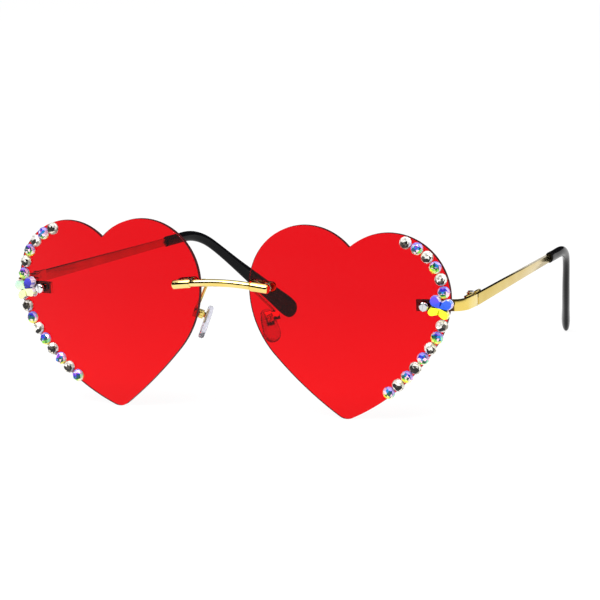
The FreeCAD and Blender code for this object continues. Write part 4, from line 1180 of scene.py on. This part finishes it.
@dataclass
class Temple:
    """Temple bar and its tip."""

    side: Side
    bar_ease_mm: float = 0.25
    tip_ease_mm: float = 0.3
    # Share of its normal towards the wearer above which a face is on the inner side and takes the painted
    # shade.
    inner_share: float = 0.5

    def build(self) -> None:
        """Make the flat bar, its inner side deepened in tone by painted shade, and the black tip."""
        bar = eased_piece(f"temple_{self.side.value}", SATIN_GOLD, self.bar_ease_mm)
        bar.data.materials.append(PAINTED_SHADE_GOLD.material())
        # Faces on the inner side take the painted shade.
        for face in bar.data.polygons:
            face.material_index = int(face.normal.x * self.side.sign < -self.inner_share)
        eased_piece(f"temple_tip_{self.side.value}", TIP_BLACK, self.tip_ease_mm)


@dataclass(frozen=True)
class Lamp:
    """A round lamp: place and width in metres, power in watts."""

    name: str
    place: tuple[float, float, float]
    width: float
    power: float


@dataclass
class Studio:
    """Floor, light and camera."""

    floor_z: float
    floor_size_m: float = 8.0
    paper_tone: str = "#F4F4F4"
    # How much of the floor's colour is plain white to the rays that show it; the rest takes the shadow.
    white_share: float = 0.9
    lens_mm: float = 270.0
    sensor_mm: float = 36.0
    far_m: float = 30.0
    camera_mm: tuple[float, float, float] = (628.6, -1196.7, 259.5)
    right: tuple[float, float, float] = (0.89597, 0.44188, -0.04454)
    upward: tuple[float, float, float] = (-0.04279, 0.18571, 0.98167)
    backward: tuple[float, float, float] = (0.44205, -0.87764, 0.18530)
    surround_light: float = 0.8
    # Height on the unit sphere and colour.
    surround_tones: tuple[tuple[float, str], ...] = (
        (0.04, "#FFFFFF"),
        (0.1, "#141415"),
        (0.66, "#0E0E0F"),
        (0.82, "#FFFFFF"),
    )
    aim_m: tuple[float, float, float] = (0.0, 0.05, 0.0)
    lamp_set: tuple[Lamp, ...] = (
        Lamp("key", (-0.4, -0.5, 1.1), 0.8, 13.0),
        Lamp("front", (0.45, -0.6, 1.1), 0.4, 5.0),
        Lamp("fill", (0.8, 0.35, 0.7), 0.8, 5.0),
    )

    @staticmethod
    def seen(tree: bpy.types.NodeTree) -> bpy.types.NodeSocket:
        """Mask of the rays that show the white background: straight, mirrored or through glass.

        Args:
            tree: node tree of the floor or the world.

        Returns:
            1 for those rays and 0 for the others.
        """
        path = add_node(tree, "ShaderNodeLightPath").outputs
        mask = path["Is Camera Ray"]
        for name in ("Is Glossy Ray", "Is Transmission Ray"):
            mask = maths(tree, "MAXIMUM", mask, path[name])
        return mask

    def floor(self) -> None:
        """Sheet under the pair, nearly white to the rays that show the background, with a soft shadow."""
        half = self.floor_size_m / 2
        mesh = bpy.data.meshes.new("floor")
        corners = [(-half, -half), (half, -half), (half, half), (-half, half)]
        mesh.from_pydata([(x, y, self.floor_z) for x, y in corners], [], [(0, 1, 2, 3)])
        sheet = bpy.data.objects.new("floor", mesh)
        bpy.context.scene.collection.objects.link(sheet)
        material = bpy.data.materials.new("white_sheet")
        material.use_nodes = True
        tree = material.node_tree
        tree.nodes.clear()
        paper = add_node(tree, "ShaderNodeBsdfDiffuse", {"Color": colour(self.paper_tone)})
        white = add_node(tree, "ShaderNodeEmission", {"Color": colour("#FFFFFF"), "Strength": 1.0})
        share = maths(tree, "MULTIPLY", self.seen(tree), self.white_share)
        mixed = add_node(
            tree, "ShaderNodeMixShader", links={0: share, 1: paper.outputs[0], 2: white.outputs[0]}
        )
        add_node(tree, "ShaderNodeOutputMaterial", links={"Surface": mixed.outputs[0]})
        mesh.materials.append(material)
        sheet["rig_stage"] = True

    def surround(self) -> None:
        """White backdrop all round, a dim gap above it and a bright panel overhead."""
        world = bpy.data.worlds.new("surround")
        bpy.context.scene.world = world
        world.use_nodes = True
        tree = world.node_tree
        tree.nodes.clear()
        place = add_node(tree, "ShaderNodeTexCoord").outputs["Generated"]
        height = add_node(tree, "ShaderNodeSeparateXYZ", links={0: place}).outputs["Z"]
        tone = add_node(tree, "ShaderNodeValToRGB", links={"Fac": height})
        set_ramp(tone, list(self.surround_tones))
        light = add_node(
            tree, "ShaderNodeBackground", {"Color": colour("#FFFFFF"), "Strength": self.surround_light}
        )
        shown = add_node(tree, "ShaderNodeBackground", {"Strength": 1.0}, {"Color": tone.outputs["Color"]})
        mixed = add_node(
            tree,
            "ShaderNodeMixShader",
            links={0: self.seen(tree), 1: light.outputs[0], 2: shown.outputs[0]},
        )
        add_node(tree, "ShaderNodeOutputWorld", links={"Surface": mixed.outputs[0]})

    def lamps(self) -> None:
        """A large soft key and a small lamp above the front, and a weaker fill from behind."""
        for item in self.lamp_set:
            lamp = bpy.data.lights.new(item.name, "AREA")
            lamp.shape = "DISK"
            lamp.size = item.width
            lamp.energy = item.power
            holder = bpy.data.objects.new(item.name, lamp)
            bpy.context.scene.collection.objects.link(holder)
            turn = (Vector(self.aim_m) - Vector(item.place)).to_track_quat("-Z", "Y")
            holder.matrix_world = Matrix.Translation(item.place) @ turn.to_matrix().to_4x4()

    def camera(self) -> None:
        """Camera at the photograph's angle, with a long lens."""
        data = bpy.data.cameras.new("camera")
        data.lens = self.lens_mm
        data.sensor_width = self.sensor_mm
        data.clip_end = self.far_m
        holder = bpy.data.objects.new("camera", data)
        bpy.context.scene.collection.objects.link(holder)
        turn = Matrix((self.right, self.upward, self.backward)).transposed().to_4x4()
        holder.matrix_world = Matrix.Translation(Vector(self.camera_mm) * MM) @ turn
        bpy.context.scene.camera = holder

    def build(self) -> None:
        """Set up the scene round the pair."""
        bpy.context.scene.view_settings.view_transform = "Standard"
        self.floor()
        self.surround()
        self.lamps()
        self.camera()


# Painted reflection colours of each butterfly's coating, different on the two sides.
BLUE_AND_YELLOW = (
    WingTones("#6240DC", "#2A46D8", "#123E6A", ("#B4A2E0", "#D8CCEC", "#8E80E8")),
    WingTones("#D8DC10", "#F4F218", "#1A5A2C", ("#E8E48A", "#D2D84A", "#E4DEC0")),
    WingTones("#E2E418", "#F2F020", "#1A5A2C", ("#E8E48A", "#CAD43C", "#E0DCC4")),
    WingTones("#2A5AE4", "#0E52D2", "#123E6A", ("#BCAEE2", "#DED6EE", "#7FA0F0")),
)
MINT_AND_INDIGO = (
    WingTones("#A8DCBE", "#C4E2B4", "#B8B4B0", ("#A89CA4", "#CFC8CA", "#94C8AC")),
    WingTones("#BCDCA0", "#DEE2A0", "#B8B4AC", ("#AFA2A8", "#D4CCCC", "#A8CCA0")),
    WingTones("#D2E0A8", "#E2E2B0", "#B8B4B0", ("#A89CA4", "#CFC8CA", "#B8CC9A")),
    WingTones("#3A34C8", "#14188C", "#5044BC", ("#B0A4BE", "#D4CCDA", "#8076C4")),
)
# Seed of the first row of stones, and how far the seeds of the two sides lie apart.
FIRST_SEED = 3
SIDE_SEEDS = 4


def main() -> None:
    """Build the pair in order and report each piece."""
    cad_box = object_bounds()
    LensPair().build()
    for number, side in enumerate(Side):
        for step, kind in enumerate(StoneKind):
            StoneRow(side, kind, seed=FIRST_SEED + SIDE_SEEDS * number + step).build()
    ButterflyStone(Side.LEFT, BLUE_AND_YELLOW).build()
    ButterflyStone(Side.RIGHT, MINT_AND_INDIGO).build()
    BridgeSet().build()
    for side in Side:
        NosePad(side).build()
        EndPiece(side).build()
        Temple(side).build()
    Studio(floor_z=cad_box[0][2]).build()


if __name__ == "__main__":
    main()
